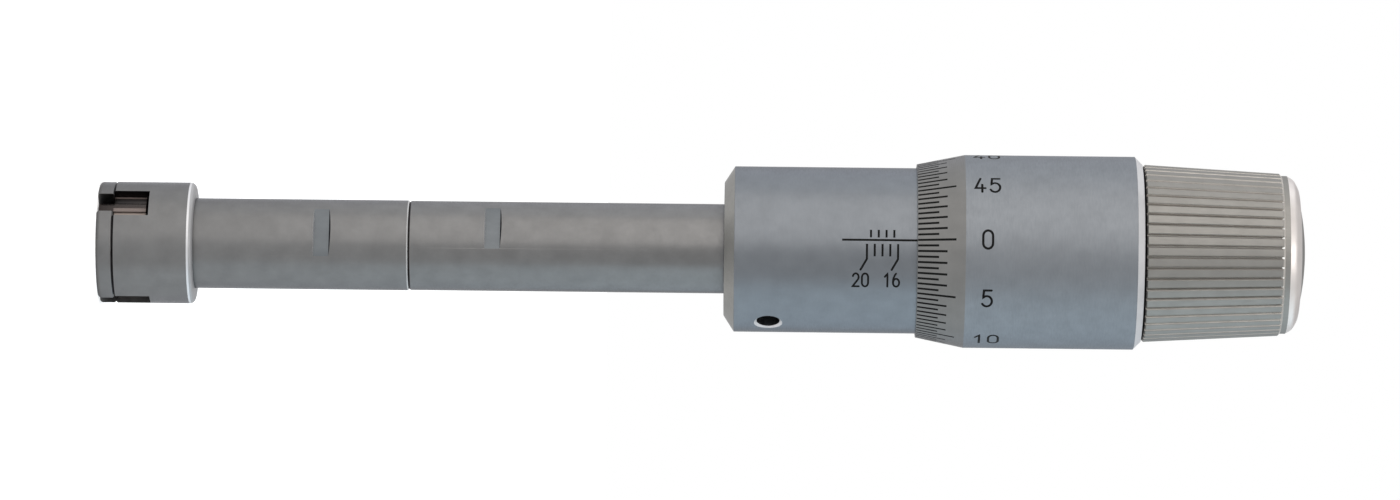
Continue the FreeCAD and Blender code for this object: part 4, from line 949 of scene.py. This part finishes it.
grip_length = 17.55
grip_lean = math.atan2(knob_radius - grip_end_radius, grip_length)
run_out = 17.42
run_out_slope = 1.1


def flute_cutter():
    """A long bar with the section of one flute, its bottom on the Z axis, mouth towards +X."""
    mesh = bmesh.new()
    section = [(0.0, -0.05), (0.0, 0.05), (flute_depth - flute_lip, flute_half),
               (flute_depth, flute_half + flute_lip), (flute_depth + 0.6, flute_half + flute_lip),
               (flute_depth + 0.6, -flute_half - flute_lip), (flute_depth, -flute_half - flute_lip),
               (flute_depth - flute_lip, -flute_half)]
    face = mesh.faces.new([mesh.verts.new((x * mm, y * mm, 0)) for x, y in section])
    grown = bmesh.ops.extrude_face_region(mesh, geom=[face])
    moved = [item for item in grown["geom"] if isinstance(item, bmesh.types.BMVert)]
    for vert in moved:
        vert.co.z = (1.0 + run_out + vert.co.x / mm * run_out_slope) * mm
    bmesh.ops.recalc_face_normals(mesh, faces=mesh.faces)
    mesh.transform(Matrix.Translation(((knob_radius - flute_depth) * mm, 0, knob_low * mm))
                   @ Matrix.Rotation(-grip_lean, 4, "Y") @ Matrix.Translation((0, 0, -1.0 * mm)))
    data = bpy.data.meshes.new("flute")
    mesh.to_mesh(data)
    mesh.free()
    return data


def fluting_tree():
    """Cut copies of a tool from a turned piece, evenly spaced round the axis."""
    tree = bpy.data.node_groups.new("fluting", "GeometryNodeTree")
    for name, kind in (("Geometry", "Geometry"), ("Count", "Int"), ("Turn", "Float"),
                       ("Tool", "Object"), ("Finish", "Material")):
        tree.interface.new_socket(name=name, in_out="INPUT", socket_type="NodeSocket" + kind)
    tree.interface.new_socket(name="Geometry", in_out="OUTPUT", socket_type="NodeSocketGeometry")
    given = tree.nodes.new("NodeGroupInput").outputs
    result = tree.nodes.new("NodeGroupOutput").inputs
    row = tree.nodes.new("GeometryNodeMeshLine")
    tool = tree.nodes.new("GeometryNodeObjectInfo")
    spread = tree.nodes.new("GeometryNodeInstanceOnPoints")
    real = tree.nodes.new("GeometryNodeRealizeInstances")
    cut = tree.nodes.new("GeometryNodeMeshBoolean")
    cut.operation = "DIFFERENCE"
    cut.solver = "EXACT"
    finish = tree.nodes.new("GeometryNodeSetMaterial")
    share = tree.nodes.new("ShaderNodeMath")
    share.operation = "DIVIDE"
    share.inputs[0].default_value = 2 * math.pi
    angle = tree.nodes.new("ShaderNodeMath")
    angle.operation = "MULTIPLY_ADD"
    way = tree.nodes.new("ShaderNodeCombineXYZ")
    wire_up(tree, [
        (given["Count"], row.inputs["Count"]),
        (given["Count"], share.inputs[1]),
        (tree.nodes.new("GeometryNodeInputIndex").outputs["Index"], angle.inputs[0]),
        (share.outputs[0], angle.inputs[1]),
        (given["Turn"], angle.inputs[2]),
        (angle.outputs[0], way.inputs["Z"]),
        (way.outputs[0], spread.inputs["Rotation"]),
        (given["Tool"], tool.inputs["Object"]),
        (tool.outputs["Geometry"], spread.inputs["Instance"]),
        (row.outputs["Mesh"], spread.inputs["Points"]),
        (spread.outputs["Instances"], real.inputs["Geometry"]),
        (given["Geometry"], cut.inputs["Mesh 1"]),
        (real.outputs["Geometry"], cut.inputs["Mesh 2"]),
        (cut.outputs["Mesh"], finish.inputs["Geometry"]),
        (given["Finish"], finish.inputs["Material"]),
        (finish.outputs["Geometry"], result["Geometry"]),
    ])
    row.inputs["Offset"].default_value = (0, 0, 0)
    return tree


flute_tool = bpy.data.objects.new("flute_tool", flute_cutter())
bpy.context.scene.collection.objects.link(flute_tool)
knob_mesh = generated(fluting_tree(), {"Count": flute_count, "Turn": math.radians(flute_turn),
                                       "Tool": flute_tool, "Finish": satin_nickel},
                      turned("knob", knob_outline))
bpy.data.objects.remove(flute_tool)
for face in knob_mesh.polygons:
    spot = face.center / mm
    reach = math.hypot(spot.x, spot.y)
    surface = knob_radius - (spot.z - knob_low) * math.tan(grip_lean)
    outward = (face.normal.x * spot.x + face.normal.y * spot.y) / reach
    face.material_index = 0
    cut_away = 9.5 < reach < surface - 0.03 and outward < 0.97
    # Painted glint: the run-out ends of the flutes, facing the head, are near-white; the other
    # flute faces are cut nickel.
    if knob_low + 0.3 < spot.z < grip_end + 0.4 and cut_away:
        face.material_index = run_out_glint_mark if face.normal.z < -0.3 else flute_mark
polished(knob_mesh, 154.0, 156.0, 7.1)
fit("knob_grip", knob_mesh, [satin_nickel, polished_nickel, flute_nickel, run_out_glint_paint],
    "ratchet", ["ratchet_knob"], sharp=28.0)
dome_radius, dome_low, dome_high = span("end_cap")
dome_plug = 5.9
dome_seat = 154.51
dome_rise = 0.8
dome_outline = [
    (0, dome_low), (dome_plug, dome_low), (dome_plug, dome_seat), (dome_radius, dome_seat),
    (dome_radius, 155.65),
]
sphere = (dome_radius ** 2 + dome_rise ** 2) / (2 * dome_rise)
for step in range(1, 16):
    r = dome_radius * (1 - step / 16)
    dome_outline.append((r, dome_high - sphere + math.sqrt(sphere ** 2 - r ** 2), 0))
dome_outline.append((0, dome_high))
fit("knob_dome", turned("dome", dome_outline), [satin_nickel], "ratchet", ["end_cap"])

# Studio: a pale floor under the head, a white surround, soft panels on both sides, a small
# one beyond the knob and the camera on the side of the index line, turned so that the axis
# runs across the view.

floor_size = 6.0
mesh = bmesh.new()
bmesh.ops.create_grid(mesh, x_segments=1, y_segments=1, size=floor_size / 2)
floor_data = bpy.data.meshes.new("studio_floor")
mesh.to_mesh(floor_data)
mesh.free()
floor_paint = bpy.data.materials.new("studio paint")
floor_paint.use_nodes = True
floor_tree = floor_paint.node_tree
floor_shader = floor_tree.nodes["Principled BSDF"]
floor_shader.inputs["Base Color"].default_value = (0.82, 0.82, 0.82, 1)
floor_shader.inputs["Roughness"].default_value = 0.9
floor_shader.inputs["Specular IOR Level"].default_value = 0.0
floor_shader.inputs["Emission Color"].default_value = (1, 1, 1, 1)
floor_path = floor_tree.nodes.new("ShaderNodeLightPath")
floor_rays = floor_tree.nodes.new("ShaderNodeMath")
floor_rays.operation = "MAXIMUM"
floor_glow = floor_tree.nodes.new("ShaderNodeMath")
floor_glow.operation = "MULTIPLY"
floor_glow.inputs[1].default_value = 0.3
wire_up(floor_tree, [
    (floor_path.outputs["Is Camera Ray"], floor_rays.inputs[0]),
    (floor_path.outputs["Is Glossy Ray"], floor_rays.inputs[1]),
    (floor_rays.outputs["Value"], floor_glow.inputs[0]),
    (floor_glow.outputs["Value"], floor_shader.inputs["Emission Strength"]),
])
floor_data.materials.append(floor_paint)
floor = bpy.data.objects.new("studio_floor", floor_data)
bpy.context.scene.collection.objects.link(floor)

world = bpy.data.worlds.new("studio surround")
world.use_nodes = True
world.node_tree.nodes["Background"].inputs["Color"].default_value = (1, 1, 1, 1)
world.node_tree.nodes["Background"].inputs["Strength"].default_value = 1.0
bpy.context.scene.world = world

camera_way = 277.2
lamp_height = 0.34


def panel(name, away, distance, width, tall, power, colour, rise=0.0):
    """A soft light panel at an angle above the camera's side, facing the axis, or further
    along the axis by the angle rise."""
    lamp = bpy.data.lights.new(name, "AREA")
    lamp.shape = "RECTANGLE"
    lamp.size = width
    lamp.size_y = tall
    lamp.energy = power
    lamp.color = colour
    holder = bpy.data.objects.new(name, lamp)
    angle = math.radians(camera_way - away)
    tilt = math.radians(rise)
    out = Vector((math.cos(angle) * math.cos(tilt), math.sin(angle) * math.cos(tilt),
                  math.sin(tilt)))
    holder.location = out * distance + Vector((0, 0, lamp_height))
    holder.rotation_euler = out.to_track_quat("Z", "Y").to_euler()
    bpy.context.scene.collection.objects.link(holder)


panel("warm_panel", 45, 0.7, 1.1, 0.9, 5.0, (1.0, 0.95, 0.9))
panel("side_panel", 118, 0.7, 0.85, 0.9, 2.3, (0.92, 0.96, 1.0))
panel("cool_panel", -95, 0.7, 1.5, 0.9, 4.5, (0.62, 0.86, 1.0))
panel("end_panel", 0, 0.7, 0.35, 0.35, 1.5, (1.0, 0.98, 0.96), rise=50)

camera_distance = 0.925
camera_foot = 86.1
view_height = 77.96
axis_above = 0.19
roll = math.radians(0.627)
camera_data = bpy.data.cameras.new("camera")
camera_data.sensor_width = 36.0
camera_data.lens = 183.0
camera = bpy.data.objects.new("camera", camera_data)
bpy.context.scene.collection.objects.link(camera)
camera_angle = math.radians(camera_way)
outward = Vector((math.cos(camera_angle), math.sin(camera_angle), 0))
image_up = outward.cross(Vector((0, 0, 1)))
stand = outward * camera_distance + Vector((0, 0, camera_foot * mm))
target = Vector((0, 0, view_height * mm)) - image_up * axis_above * mm
backward = (stand - target).normalized()
right = (Vector((0, 0, 1)) - backward * backward.z).normalized()
up = backward.cross(right)
rolled_right = right * math.cos(roll) + up * math.sin(roll)
rolled_up = up * math.cos(roll) - right * math.sin(roll)
camera.matrix_world = Matrix((
    (rolled_right.x, rolled_up.x, backward.x, stand.x),
    (rolled_right.y, rolled_up.y, backward.y, stand.y),
    (rolled_right.z, rolled_up.z, backward.z, stand.z),
    (0, 0, 0, 1),
))
bpy.context.scene.camera = camera
bpy.context.scene.view_settings.view_transform = "Standard"
